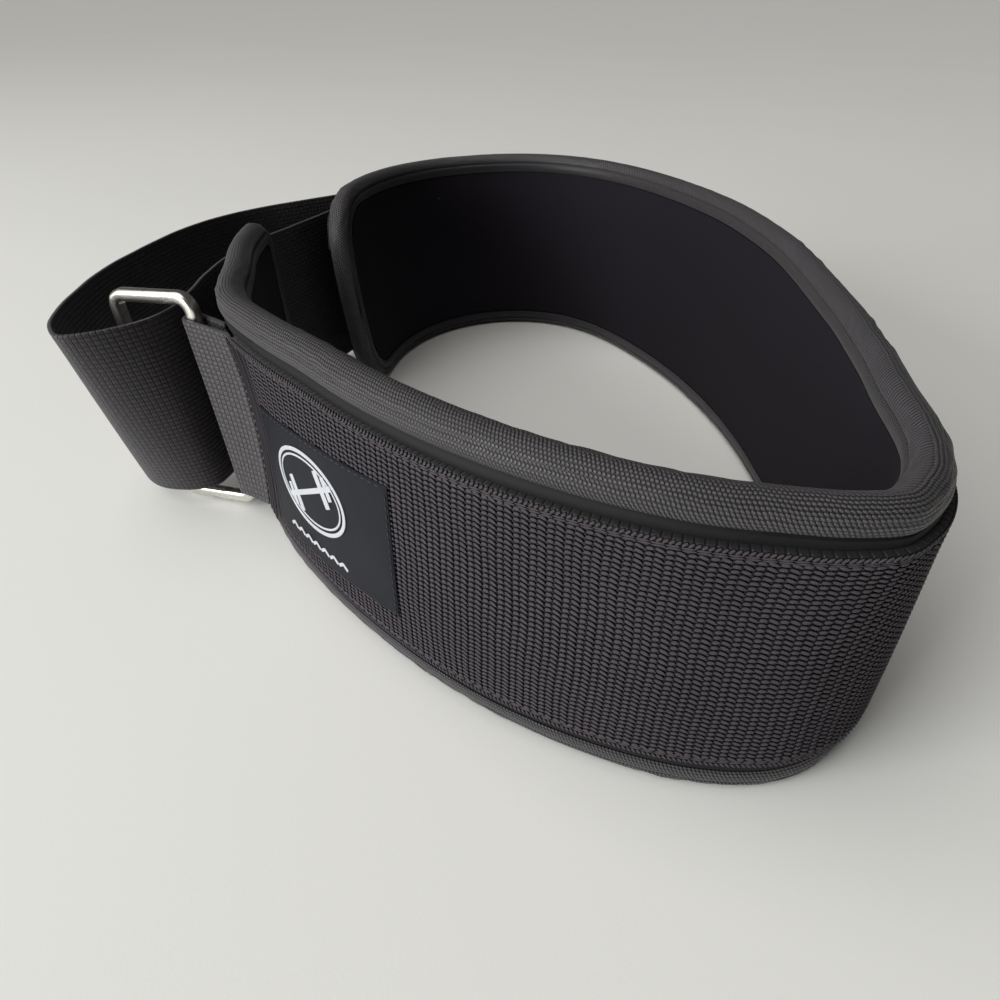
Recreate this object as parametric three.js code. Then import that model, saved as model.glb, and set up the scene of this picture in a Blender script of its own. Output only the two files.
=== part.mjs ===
// A padded weightlifting belt standing on its lower edge, in millimetres with +Z up.
// A long padded body is curled into an open waist loop. Folded tape closes its whole edge, a smooth
// lining faces the waist, and a coarse woven overlay with a label covers the outside. A folded keeper
// of webbing holds a steel ring at the near end. The strap is sewn to the far end, runs through the
// ring, turns back on itself in a loose loop and ends flat on the outside of the far end.
import * as THREE from "three";

// Padded body
const bodyLength = 836;
const bodyHeight = 100;
const foamThickness = 7.6;
const shellRise = 1.2;
const liningThickness = 1.2;
const nearCornerRadius = 11;
const farCornerRadius = 24;
const layerGap = 0.3;

// Folded edge tape
const tapeThickness = 1.2;
const tapeReach = 8.5;
const tapeJointGap = 0.3;
const foamCrownRise = 5.2;
const foamCrownFlat = 0.7;

// Woven overlay and the label on it
const overlayThickness = 2.4;
const overlayWidth = 76.8;
const overlayFoot = 12.4;
const overlayJoint = 2;
const labelStart = 110;
const labelLength = 75;
const labelHeight = 48.5;
const labelFoot = 19.5;
const labelClimb = 6.5;
const labelThickness = 0.8;

// Webbing of the strap and the keeper
const webbingWidth = 75;
const webbingThickness = 1.6;
const sewnSetback = 45;
const sewnLength = 70;
const tailSetback = 92;
const tailLength = 150;

// Steel ring, and the keeper that holds its near bar
const wireDiameter = 5;
const ringOpening = 30;
const ringPlay = 3.2;
const ringCorner = 5;
const ringLean = 4.8;
const ringSwing = 40;
const ringSeat = 69.5;
const ringStandoff = 10.9;
const ringGround = 0.3;
const keeperCrease = 85;
const keeperTail = 13;
const keeperReturn = 8;

// Fineness of the faceted surfaces
const longestStep = 18;
const sharpestTurn = 9;
const closestRuns = 0.4;
const pathSamples = 1712;
const loopSteps = 54;
const ringSides = 10;
const ringCornerSteps = 5;
const tapeCrownSteps = 5;
const tapeFoldSteps = 3;
const tapeCornerSteps = 9;
const cornerFineness = 6;
const sliver = 0.03;
const keeperWrapSteps = 9;

// The waist loop, seen from above and followed from the near end to the far end. at is the share of
// the body's length; bend is the turn to the left there, in degrees for a whole body length; lean is
// how far the upper edge stands out, and bow how far the middle does, as shares of the body's height.
const waistFolds = [
  { at: 0, bend: 10, lean: 0.035, bow: -0.005 },
  { at: 0.008, bend: 15, lean: 0.035, bow: -0.005 },
  { at: 0.068, bend: 490, lean: -0.015, bow: -0.015 },
  { at: 0.108, bend: 295, lean: 0.035, bow: -0.05 },
  { at: 0.167, bend: 130, lean: -0.025, bow: -0.005 },
  { at: 0.246, bend: 200, lean: -0.015, bow: 0.01 },
  { at: 0.306, bend: 295, lean: -0.005, bow: -0.015 },
  { at: 0.341, bend: 710, lean: 0.0, bow: -0.035 },
  { at: 0.365, bend: 1480, lean: 0.035, bow: -0.04 },
  { at: 0.395, bend: 940, lean: -0.025, bow: 0.015 },
  { at: 0.425, bend: 115, lean: -0.065, bow: 0.005 },
  { at: 0.465, bend: 235, lean: -0.075, bow: 0.0 },
  { at: 0.524, bend: 55, lean: -0.045, bow: 0.0 },
  { at: 0.584, bend: 150, lean: 0.005, bow: 0.0 },
  { at: 0.653, bend: 170, lean: 0.045, bow: 0.0 },
  { at: 0.722, bend: 165, lean: 0.05, bow: 0.0 },
  { at: 0.792, bend: 760, lean: 0.03, bow: 0.0 },
  { at: 0.861, bend: 660, lean: 0.025, bow: 0.005 },
  { at: 0.931, bend: 550, lean: 0.085, bow: 0.01 },
  { at: 1.0, bend: 110, lean: 0.095, bow: 0.04 },
];
const startHeading = -92.1;

// The strap's free loop, seen from above. Each row is one place along it, from where it leaves the far
// end to where it comes to lie on the far end again. along and out are measured from the middle of the
// ring toward the far end and away from the waist, as shares of the distance between those two, for the
// upper edge (head) and the lower edge (foot). sink goes from 0, at the strap's height on the body, to
// 1, at its height in the ring.
const strapFolds = [
  { headAlong: 1.18, headOut: 0.13, footAlong: 1.21, footOut: 0.09, sink: 0.25 },
  { headAlong: 0.97, headOut: 0.17, footAlong: 0.99, footOut: 0.11, sink: 0.55 },
  { headAlong: 0.78, headOut: 0.2, footAlong: 0.81, footOut: 0.14, sink: 0.8 },
  { headAlong: 0.57, headOut: 0.19, footAlong: 0.59, footOut: 0.13, sink: 0.95 },
  { headAlong: 0.34, headOut: 0.12, footAlong: 0.36, footOut: 0.05, sink: 1 },
  { headAlong: 0.15, headOut: 0.04, footAlong: 0.17, footOut: -0.02, sink: 1 },
  { headAlong: 0.02, headOut: 0.0, footAlong: 0.06, footOut: -0.05, sink: 1 },
  { headAlong: -0.08, headOut: 0.01, footAlong: -0.02, footOut: -0.05, sink: 1 },
  { headAlong: -0.18, headOut: 0.06, footAlong: -0.07, footOut: 0.0, sink: 1 },
  { headAlong: -0.25, headOut: 0.12, footAlong: -0.1, footOut: 0.07, sink: 1 },
  { headAlong: -0.28, headOut: 0.17, footAlong: -0.11, footOut: 0.15, sink: 1 },
  { headAlong: -0.24, headOut: 0.25, footAlong: -0.08, footOut: 0.24, sink: 1 },
  { headAlong: -0.16, headOut: 0.32, footAlong: 0.0, footOut: 0.32, sink: 0.95 },
  { headAlong: -0.02, headOut: 0.4, footAlong: 0.13, footOut: 0.4, sink: 0.85 },
  { headAlong: 0.19, headOut: 0.49, footAlong: 0.3, footOut: 0.48, sink: 0.7 },
  { headAlong: 0.44, headOut: 0.54, footAlong: 0.53, footOut: 0.52, sink: 0.5 },
  { headAlong: 0.7, headOut: 0.56, footAlong: 0.76, footOut: 0.53, sink: 0.3 },
  { headAlong: 0.92, headOut: 0.53, footAlong: 0.97, footOut: 0.5, sink: 0.15 },
  { headAlong: 1.11, headOut: 0.45, footAlong: 1.15, footOut: 0.41, sink: 0.05 },
  { headAlong: 1.3, headOut: 0.34, footAlong: 1.34, footOut: 0.3, sink: 0 },
  { headAlong: 1.48, headOut: 0.23, footAlong: 1.51, footOut: 0.19, sink: 0 },
];

// Sizes worked out from those above
const foamHalf = foamThickness / 2;
const tapeHalf = foamHalf + layerGap + tapeThickness;
const tapeInnerHalf = foamHalf + layerGap;
const shellFace = foamHalf + shellRise;
const legLine = tapeReach + layerGap;
const overlayInner = shellFace + layerGap;
const overlayOuter = overlayInner + overlayThickness;
const overlayHead = overlayFoot + overlayWidth;
const strapFoot = overlayFoot + (overlayWidth - webbingWidth) / 2;
const webbingHalf = webbingThickness / 2;
const sewnOffset = shellFace + 2 * layerGap + webbingHalf;
const tailOffset = overlayOuter + 2 * layerGap + webbingHalf;
const overlayStart = keeperCrease + keeperTail + overlayJoint;
const overlayEnd = bodyLength - sewnSetback - sewnLength - overlayJoint;

const degrees = Math.PI / 180;
const cornerRuns = roundedRuns();

function mix(a, b, share) {
  return a + (b - a) * share;
}

// One column of a table of folds, read at any share of the length
function readTable(rows, column, at) {
  let index = 1;
  while (index < rows.length - 1 && rows[index].at < at) {
    index += 1;
  }
  const from = rows[index - 1];
  const to = rows[index];
  return mix(from[column], to[column], (at - from.at) / (to.at - from.at));
}

// The middle line of the body seen from above, walked in small steps from the near end, and kept only
// where the wall has turned or run far enough for a new flat facet
function walkBody() {
  const stations = [];
  const step = bodyLength / pathSamples;
  let heading = startHeading * degrees;
  let turned = 0;
  let ran = 0;
  let x = 0;
  let y = 0;
  for (let sample = 0; sample <= pathSamples; sample += 1) {
    const at = sample / pathSamples;
    const full = turned >= sharpestTurn * degrees || ran >= longestStep;
    if (sample === 0 || sample === pathSamples || full) {
      const point = new THREE.Vector2(x, y);
      const out = new THREE.Vector2(Math.sin(heading), -Math.cos(heading));
      const lean = readTable(waistFolds, "lean", at) * bodyHeight;
      const bow = readTable(waistFolds, "bow", at) * bodyHeight;
      stations.push({ run: at * bodyLength, point, out, lean, bow });
      turned = 0;
      ran = 0;
    }
    const turn = (readTable(waistFolds, "bend", at) * degrees) / pathSamples;
    x += Math.cos(heading + turn / 2) * step;
    y += Math.sin(heading + turn / 2) * step;
    heading += turn;
    turned += Math.abs(turn);
    ran += step;
  }
  return stations;
}

const stations = walkBody();

// Share of the bow at a height: none at the edges, a third at the tape's legs and all in the middle
function bowShare(z) {
  const rise = Math.min(z, bodyHeight - z);
  const third = 1 / 3;
  if (rise < legLine) {
    return (third * rise) / legLine;
  }
  return mix(third, 1, (rise - legLine) / (bodyHeight / 2 - legLine));
}

// A point of the wall: run along the body, height, and offset outward from the middle of the padding
function wallPoint(run, z, offset) {
  let index = 1;
  while (index < stations.length - 1 && stations[index].run < run) {
    index += 1;
  }
  const from = stations[index - 1];
  const to = stations[index];
  const share = (run - from.run) / (to.run - from.run);
  const point = from.point.clone().lerp(to.point, share);
  const out = from.out.clone().lerp(to.out, share);
  const lean = (mix(from.lean, to.lean, share) * z) / bodyHeight;
  const bow = mix(from.bow, to.bow, share) * bowShare(z);
  point.addScaledVector(out, offset + lean + bow);
  return new THREE.Vector3(point.x, point.y, z);
}

// The runs of all the wall's facets between two ends, with extra ones where a piece changes
function runsBetween(start, end, extra = []) {
  const inside = stations.map((station) => station.run).filter((run) => run > start && run < end);
  const facets = [start, ...inside, end];
  const apart = extra.filter((run) => facets.every((facet) => Math.abs(run - facet) > closestRuns));
  return [...facets, ...apart].sort((a, b) => a - b);
}

// Height lost at the body's rounded corners, for an outline set in from the edge
function cornerInset(run, inset) {
  const isNear = run < bodyLength / 2;
  const fromEnd = isNear ? run : bodyLength - run;
  const radius = Math.max((isNear ? nearCornerRadius : farCornerRadius) - inset, 0);
  const reach = Math.min(Math.max(fromEnd - inset, 0), radius);
  return inset + radius - Math.sqrt(radius ** 2 - (radius - reach) ** 2);
}

// Runs that follow the rounded corners of both ends, from the tape's legs to where the edge is straight
function roundedRuns() {
  const runs = [];
  for (let index = 1; index <= cornerFineness; index += 1) {
    const share = Math.cos((index / cornerFineness) * 90 * degrees);
    runs.push(mix(nearCornerRadius, legLine, share), bodyLength - mix(farCornerRadius, legLine, share));
  }
  return runs;
}

// A closed body through a row of sections that all have the same corners. Each face is split from its
// lower corner here to its upper corner in the next section, so that layers on one wall nest. outline
// gives the first section in the flat, for its lid; a closed loop of sections has no lids.
function skin(sections, outline) {
  const size = sections[0].length;
  const positions = sections.flat().flatMap((point) => [point.x, point.y, point.z]);
  const faces = [];
  const count = outline ? sections.length - 1 : sections.length;
  for (let row = 0; row < count; row += 1) {
    const next = ((row + 1) % sections.length) * size;
    for (let corner = 0; corner < size; corner += 1) {
      const beside = (corner + 1) % size;
      const a = row * size + corner;
      const b = row * size + beside;
      const c = next + beside;
      const d = next + corner;
      const rising = sections[row][corner].z <= sections[row][beside].z;
      faces.push(...(rising ? [[a, b, c], [a, c, d]] : [[a, b, d], [b, c, d]]));
    }
  }
  if (outline) {
    const last = (sections.length - 1) * size;
    for (const [a, b, c] of THREE.ShapeUtils.triangulateShape(outline, [])) {
      faces.push([a, c, b], [last + a, last + b, last + c]);
    }
  }
  const geometry = new THREE.BufferGeometry();
  geometry.setAttribute("position", new THREE.Float32BufferAttribute(positions, 3));
  geometry.setIndex(facingOut(faces, positions).flat());
  return geometry;
}

// The same faces, turned over if they enclose a negative volume
function facingOut(faces, positions) {
  const corner = (index) => new THREE.Vector3().fromArray(positions, index * 3);
  let volume = 0;
  for (const [a, b, c] of faces) {
    volume += corner(a).dot(corner(b).cross(corner(c)));
  }
  return volume > 0 ? faces : faces.map(([a, b, c]) => [a, c, b]);
}

// A piece swept along the wall; profile(run) lists the section's corners as offset and height
function wallPiece(runs, profile) {
  const flat = profile(runs[0]).map(([offset, z]) => new THREE.Vector2(offset, z));
  const lidUp = THREE.ShapeUtils.area(flat) > 0;
  const ordered = (run) => (lidUp ? profile(run) : profile(run).reverse());
  const sections = runs.map((run) => ordered(run).map(([offset, z]) => wallPoint(run, z, offset)));
  return skin(sections, lidUp ? flat : flat.reverse());
}

// Foam and shell in one: slim and chamfered under the tape, fuller on the outside between its legs
function foamBody() {
  const crest = tapeThickness + layerGap + foamCrownFlat;
  const shoulder = tapeThickness + layerGap + foamCrownRise;
  const bends = [shoulder, legLine, legLine + shellRise];
  const extra = [...bends, ...bends.map((run) => bodyLength - run), ...cornerRuns];
  const profile = (run) => {
    const fromEnd = Math.min(run, bodyLength - run);
    const half = foamHalf * (fromEnd < shoulder - closestRuns ? 0.5 : 1);
    const face = fromEnd > legLine + closestRuns ? shellFace : half;
    const depths = [crest, shoulder, legLine, legLine + shellRise];
    const heights = depths.map((depth, index) => cornerInset(run, depth) + index * sliver);
    const [crestZ, shoulderZ, legZ, faceZ] = heights;
    const middle = bodyHeight / 2;
    const outside = [[half / 2, crestZ], [half, shoulderZ], [half, legZ], [face, faceZ]];
    const inside = [[-half, legZ], [-half, shoulderZ], [-half / 2, crestZ]];
    const above = ([offset, z]) => [offset, bodyHeight - z];
    const rising = [...outside, [face, middle], ...outside.map(above).reverse()];
    return [...rising, ...inside.map(above).reverse(), [-half, middle], ...inside];
  };
  return wallPiece(runsBetween(crest, bodyLength - crest, extra), profile);
}

// A flat layer between two offsets and two heights that may change along the run
function layer(runs, inner, outer, footAt, headAt) {
  return wallPiece(runs, (run) => [
    [inner, footAt(run)],
    [outer, footAt(run)],
    [outer, bodyHeight / 2],
    [outer, headAt(run)],
    [inner, headAt(run)],
    [inner, bodyHeight / 2],
  ]);
}

function liningPanel() {
  const runs = runsBetween(legLine, bodyLength - legLine, cornerRuns);
  const foot = (run) => cornerInset(run, legLine);
  const head = (run) => bodyHeight - foot(run);
  return layer(runs, -tapeInnerHalf - liningThickness, -tapeInnerHalf, foot, head);
}

function overlayPanel() {
  const runs = runsBetween(overlayStart, overlayEnd);
  return layer(runs, overlayInner, overlayOuter, () => overlayFoot, () => overlayHead);
}

function labelPatch() {
  const foot = (run) => labelFoot + (labelClimb * (run - labelStart)) / labelLength;
  const inner = overlayOuter + layerGap;
  const runs = runsBetween(labelStart, labelStart + labelLength);
  return layer(runs, inner, inner + labelThickness, foot, (run) => foot(run) + labelHeight);
}

// The folded tape's section: offset across the wall, and depth below the edge that it wraps
function tapeSection() {
  const arc = (half, depth, steps) => {
    const flatten = Math.cos((90 / steps) * degrees);
    const points = [];
    for (let index = 0; index <= steps; index += 1) {
      const angle = (index / steps) * Math.PI;
      points.push([half * Math.cos(angle), depth + half - (half * Math.sin(angle)) / flatten]);
    }
    return points;
  };
  const outer = arc(tapeHalf, 0, tapeCrownSteps);
  const inner = arc(tapeInnerHalf, tapeThickness + layerGap / 2, tapeFoldSteps).reverse();
  const tips = [[-tapeHalf, tapeReach], [-tapeInnerHalf, tapeReach]];
  return [[tapeHalf, tapeReach], ...outer, ...tips, ...inner, [tapeInnerHalf, tapeReach]];
}

// Tape along a stretch of the body's outline. Each place has its run and height on the outline and
// the direction, along the run and upward, that points out of the body there.
function edgeTape(places) {
  const section = tapeSection();
  const flat = section.map(([offset, depth]) => new THREE.Vector2(offset, -depth));
  const sections = places.map((place) =>
    section.map(([offset, depth]) =>
      wallPoint(place.run - depth * place.outRun, place.z - depth * place.outZ, offset),
    ),
  );
  return skin(sections, flat);
}

function straightTape(z, outZ) {
  const gap = tapeJointGap / 2;
  const runs = runsBetween(nearCornerRadius + gap, bodyLength - farCornerRadius - gap);
  return edgeTape(runs.map((run) => ({ run, z, outRun: 0, outZ })));
}

// The tape round one end: an upper corner, the upright edge and a lower corner
function endTape(end) {
  const side = end === "near" ? -1 : 1;
  const edge = end === "near" ? 0 : bodyLength;
  const cornerRadius = end === "near" ? nearCornerRadius : farCornerRadius;
  const spare = tapeJointGap / 2 / cornerRadius;
  const places = [];
  const corner = (middleZ, from, to) => {
    for (let index = 0; index <= tapeCornerSteps; index += 1) {
      const angle = mix(from, to, index / tapeCornerSteps);
      const outRun = side * Math.cos(angle);
      const outZ = Math.sin(angle);
      const run = edge - side * cornerRadius + cornerRadius * outRun;
      places.push({ run, z: middleZ + cornerRadius * outZ, outRun, outZ });
    }
  };
  corner(bodyHeight - cornerRadius, Math.PI / 2 - spare, 0);
  places.push({ run: edge, z: bodyHeight / 2, outRun: side, outZ: 0 });
  corner(cornerRadius, 0, spare - Math.PI / 2);
  return edgeTape(places);
}

// A band of webbing on its edge. Each place has the foot, middle and head of the band as points.
function ribbon(places, thickness) {
  const levels = ["foot", "middle", "head"];
  const sideAt = (index, level) => {
    const before = places[Math.max(index - 1, 0)][level];
    const after = places[Math.min(index + 1, places.length - 1)][level];
    return new THREE.Vector3(before.y - after.y, after.x - before.x, 0).setLength(thickness / 2);
  };
  const sections = places.map((place, index) => {
    const left = levels.map((level) => place[level].clone().add(sideAt(index, level)));
    const right = levels.map((level) => place[level].clone().sub(sideAt(index, level)));
    return [...right, ...left.reverse()];
  });
  const outline = [[1, 0], [1, 1], [1, 2], [0, 2], [0, 1], [0, 0]];
  return skin(sections, outline.map(([x, y]) => new THREE.Vector2(x, y)));
}

// A place of a band that lies on the wall
function onWall(run, offset, footZ) {
  const headZ = footZ + webbingWidth;
  return {
    foot: wallPoint(run, footZ, offset),
    middle: wallPoint(run, bodyHeight / 2, offset),
    head: wallPoint(run, headZ, offset),
  };
}

// Half sizes of the ring's wire centre line, and where the ring stands
const ringHalfWidth = (ringOpening + wireDiameter) / 2;
const ringHalfHeight = (webbingWidth + 2 * ringPlay + wireDiameter) / 2;
const ringCentre = placeRing();

// The ring's centre, its direction from the near bar to the far one, and how its bars lean
function placeRing() {
  const seat = wallPoint(ringSeat, bodyHeight / 2, tapeHalf);
  const beyond = wallPoint(ringSeat, bodyHeight / 2, tapeHalf + 1);
  const out = new THREE.Vector2(beyond.x - seat.x, beyond.y - seat.y).normalize();
  const across = out.clone().rotateAround(new THREE.Vector2(), -ringSwing * degrees);
  const bar = new THREE.Vector2(seat.x, seat.y).addScaledVector(out, ringStandoff);
  const middle = bar.addScaledVector(across, ringHalfWidth);
  const lean = ringLean * degrees;
  const upright = (ringHalfHeight - ringCorner) * Math.cos(lean);
  const sideways = (ringHalfWidth - ringCorner) * Math.sin(lean);
  const z = ringGround + upright + sideways + ringCorner + wireDiameter / 2;
  return { middle, across, lean, z };
}

// The near bar's centre at a height, where the keeper wraps it
function nearBarAt(z) {
  const { middle, across, lean, z: centreZ } = ringCentre;
  const aside = (z - centreZ) * Math.tan(lean) - ringHalfWidth / Math.cos(lean);
  return middle.clone().addScaledVector(across, aside);
}

// A rounded rectangle of round wire, upright in its own X and Z
function ringWire() {
  const sections = [];
  const straightX = ringHalfWidth - ringCorner;
  const straightZ = ringHalfHeight - ringCorner;
  for (let quarter = 0; quarter < 4; quarter += 1) {
    const signX = quarter === 0 || quarter === 3 ? 1 : -1;
    const signZ = quarter < 2 ? 1 : -1;
    for (let index = 0; index <= ringCornerSteps; index += 1) {
      const angle = (quarter + index / ringCornerSteps) * 90 * degrees;
      const out = new THREE.Vector3(Math.cos(angle), 0, Math.sin(angle));
      const corner = new THREE.Vector3(signX * straightX, 0, signZ * straightZ);
      sections.push(wireSection(corner.addScaledVector(out, ringCorner), out));
    }
  }
  return skin(sections);
}

function wireSection(centre, out) {
  const side = new THREE.Vector3(0, 1, 0);
  const points = [];
  for (let index = 0; index < ringSides; index += 1) {
    const angle = (index / ringSides) * 2 * Math.PI;
    const point = centre.clone().addScaledVector(out, (wireDiameter / 2) * Math.cos(angle));
    points.push(point.addScaledVector(side, (wireDiameter / 2) * Math.sin(angle)));
  }
  return points;
}

// Where a line from a point outside a circle touches it; side is 1 or -1
function tangentAngle(centre, radius, from, side) {
  const toward = from.clone().sub(centre);
  return Math.atan2(toward.y, toward.x) + side * Math.acos(radius / toward.length());
}

// The keeper at one height: flat on the wall, creased off it, round the ring's near bar and back
function keeperLine(z) {
  const radius = wireDiameter / 2 + layerGap + webbingHalf;
  const flatPoint = (run) => wallPoint(run, z, sewnOffset);
  const crease = flatPoint(keeperCrease);
  const back = flatPoint(keeperCrease - keeperReturn);
  const bar = nearBarAt(z);
  const from = tangentAngle(bar, radius, new THREE.Vector2(crease.x, crease.y), -1);
  const turn = tangentAngle(bar, radius, new THREE.Vector2(back.x, back.y), 1) - from;
  const wrapped = turn > 0 ? turn - 2 * Math.PI : turn;
  const line = [flatPoint(keeperCrease + keeperTail), flatPoint(keeperCrease + keeperTail / 2), crease];
  for (let index = 0; index <= keeperWrapSteps; index += 1) {
    const angle = from + (wrapped * index) / keeperWrapSteps;
    line.push(new THREE.Vector3(bar.x + radius * Math.cos(angle), bar.y + radius * Math.sin(angle), z));
  }
  line.push(back);
  return line;
}

function keeperLoop() {
  const footZ = ringCentre.z - webbingWidth / 2;
  const foot = keeperLine(footZ);
  const middle = keeperLine(bodyHeight / 2);
  const head = keeperLine(footZ + webbingWidth);
  const places = foot.map((point, index) => ({ foot: point, middle: middle[index], head: head[index] }));
  return ribbon(places, webbingThickness);
}

// The strap: sewn on the far end, a free loop through the ring, and a tail back on the far end
function strapBand() {
  const sewnEnd = bodyLength - sewnSetback;
  const landing = bodyLength - tailSetback;
  const sewn = runsBetween(sewnEnd - sewnLength, sewnEnd).map((run) => onWall(run, sewnOffset, strapFoot));
  const tailRuns = runsBetween(landing - tailLength, landing).reverse();
  const tail = tailRuns.map((run) => onWall(run, tailOffset, strapFoot));
  const level = (name) => {
    const folds = strapFolds.map((fold) => strapFoldPoint(fold, name));
    const before = sewn.slice(-2).map((place) => place[name]);
    const after = tail.slice(0, 2).map((place) => place[name]);
    return freeStretch([...before, ...folds, ...after]);
  };
  const [feet, middles, heads] = ["foot", "middle", "head"].map(level);
  const loop = feet.map((foot, index) => ({ foot, middle: middles[index], head: heads[index] }));
  return ribbon([...sewn, ...loop, ...tail], webbingThickness);
}

// A fold of the strap's free loop as a point of its foot, its head or midway between them
function strapFoldPoint(fold, level) {
  if (level === "middle") {
    return strapFoldPoint(fold, "foot").lerp(strapFoldPoint(fold, "head"), 0.5);
  }
  const gate = ringCentre.middle;
  const end = wallPoint(bodyLength, bodyHeight / 2, tapeHalf);
  const along = new THREE.Vector2(end.x, end.y).sub(gate);
  const out = new THREE.Vector2(-along.y, along.x);
  const point = gate.clone().addScaledVector(along, fold[level + "Along"]);
  point.addScaledVector(out, fold[level + "Out"]);
  const footZ = mix(strapFoot, ringCentre.z - webbingWidth / 2, fold.sink);
  return new THREE.Vector3(point.x, point.y, level === "head" ? footZ + webbingWidth : footZ);
}

// The part of a smooth curve between its second point and its last but one, without those two
function freeStretch(points) {
  const curve = new THREE.CatmullRomCurve3(points, false, "centripetal");
  const spans = points.length - 1;
  const steps = [];
  for (let index = 1; index < loopSteps; index += 1) {
    steps.push(curve.getPoint(mix(1, spans - 1, index / loopSteps) / spans));
  }
  return steps;
}

function piece(name, geometry, color, roughness, metalness = 0) {
  const material = new THREE.MeshStandardMaterial({ color, roughness, metalness });
  const mesh = new THREE.Mesh(geometry, material);
  mesh.name = name;
  return mesh;
}

function buildBelt() {
  const belt = new THREE.Group();
  belt.add(piece("padded_body", foamBody(), 0x141416, 0.9));
  belt.add(piece("lining", liningPanel(), 0x121116, 0.95));
  belt.add(piece("outer_webbing", overlayPanel(), 0x1c1c1e, 0.7));
  belt.add(piece("top_tape", straightTape(bodyHeight, 1), 0x232325, 0.8));
  belt.add(piece("bottom_tape", straightTape(0, -1), 0x232325, 0.8));
  belt.add(piece("near_end_tape", endTape("near"), 0x232325, 0.8));
  belt.add(piece("far_end_tape", endTape("far"), 0x232325, 0.8));
  belt.add(piece("label_patch", labelPatch(), 0x181b26, 0.5));
  belt.add(piece("keeper_loop", keeperLoop(), 0x242326, 0.75));
  belt.add(piece("strap", strapBand(), 0x242326, 0.75));
  const ring = piece("steel_ring", ringWire(), 0xc9c7c2, 0.25, 1);
  const { middle, across, lean, z } = ringCentre;
  ring.position.set(middle.x, middle.y, z);
  ring.rotation.set(0, lean, Math.atan2(across.y, across.x), "ZYX");
  belt.add(ring);
  return belt;
}

// The whole belt with its origin below the middle of its bounding box, on the surface it stands on
const group = new THREE.Group();
const belt = buildBelt();
const bounds = new THREE.Box3().setFromObject(belt, true);
const middle = bounds.getCenter(new THREE.Vector3());
belt.position.set(-middle.x, -middle.y, -bounds.min.z);
group.add(belt);

export default group;
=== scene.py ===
"""A padded weightlifting belt standing on its lower edge.

Every sheet of cloth is cut flat at its real size, worked flat, and then laid on the belt's wall or
folded over its edge. The wall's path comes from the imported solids.
"""
import logging
import math
from collections.abc import Callable, Iterator
from contextlib import contextmanager
from dataclasses import dataclass, field
from enum import Enum

import bmesh
import bpy
import numpy as np
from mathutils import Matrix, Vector


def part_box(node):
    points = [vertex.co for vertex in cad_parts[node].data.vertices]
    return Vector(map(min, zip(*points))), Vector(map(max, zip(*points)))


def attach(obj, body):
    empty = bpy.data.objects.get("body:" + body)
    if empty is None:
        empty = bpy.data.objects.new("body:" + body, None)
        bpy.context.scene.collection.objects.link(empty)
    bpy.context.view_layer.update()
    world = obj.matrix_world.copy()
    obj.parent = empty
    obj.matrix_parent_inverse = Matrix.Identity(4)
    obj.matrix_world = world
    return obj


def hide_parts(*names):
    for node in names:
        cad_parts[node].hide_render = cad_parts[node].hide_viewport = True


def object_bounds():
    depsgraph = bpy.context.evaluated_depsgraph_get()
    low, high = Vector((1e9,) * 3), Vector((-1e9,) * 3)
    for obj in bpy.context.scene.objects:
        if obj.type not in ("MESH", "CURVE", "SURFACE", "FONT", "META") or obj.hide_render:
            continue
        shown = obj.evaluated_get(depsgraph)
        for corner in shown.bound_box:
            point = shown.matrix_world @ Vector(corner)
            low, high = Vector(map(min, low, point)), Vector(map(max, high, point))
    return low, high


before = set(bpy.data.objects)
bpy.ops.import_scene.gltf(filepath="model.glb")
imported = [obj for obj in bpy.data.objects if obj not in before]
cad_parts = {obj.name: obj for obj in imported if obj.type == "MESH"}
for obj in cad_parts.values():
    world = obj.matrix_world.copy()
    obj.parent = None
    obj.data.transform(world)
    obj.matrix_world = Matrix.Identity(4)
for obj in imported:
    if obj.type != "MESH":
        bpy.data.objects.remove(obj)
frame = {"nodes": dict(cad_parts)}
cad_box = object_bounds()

log = logging.getLogger("belt")

MM = 0.001
BODY = "root"
MERGE = 0.004 * MM

Array = np.ndarray
Placer = Callable[[Array, Array, Array], Array]


class Side(Enum):
    """Which way a sheet gets its thickness from the surface that it was laid on."""

    INWARD = -1.0
    BOTH = 0.0
    OUTWARD = 1.0


def deselect_all() -> None:
    """Leaves nothing selected, so that an operator acts only on what is added next."""
    for item in bpy.context.selected_objects:
        item.select_set(False)


def make_active(piece: bpy.types.Object) -> None:
    """Selects one piece alone and makes it the active one."""
    deselect_all()
    piece.select_set(True)
    bpy.context.view_layer.objects.active = piece


def points_of(piece: bpy.types.Object) -> Array:
    """The piece's vertices as rows of x, y and z."""
    flat = np.empty(len(piece.data.vertices) * 3, np.float32)
    piece.data.vertices.foreach_get("co", flat)
    return flat.reshape(-1, 3).astype(float)


def set_points(piece: bpy.types.Object, points: Array) -> None:
    """Moves the piece's vertices to these rows of x, y and z."""
    piece.data.vertices.foreach_set("co", points.astype(np.float32).ravel())
    piece.data.update()


def shift_points(piece: bpy.types.Object, x: float = 0.0, y: float = 0.0, z: float = 0.0) -> None:
    """Moves all of a piece's vertices by this much."""
    set_points(piece, points_of(piece) + (x, y, z))


def turned(x: Array, y: Array, degrees: float) -> tuple[Array, Array]:
    """Flat places turned to the left about the origin."""
    turn = math.radians(degrees)
    return x * math.cos(turn) - y * math.sin(turn), x * math.sin(turn) + y * math.cos(turn)


@contextmanager
def editing(piece: bpy.types.Object) -> Iterator[None]:
    """Edit mode on one piece, with all of it selected at the start."""
    make_active(piece)
    bpy.ops.object.mode_set(mode="EDIT")
    bpy.ops.mesh.select_all(action="SELECT")
    yield
    bpy.ops.object.mode_set(mode="OBJECT")


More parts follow.
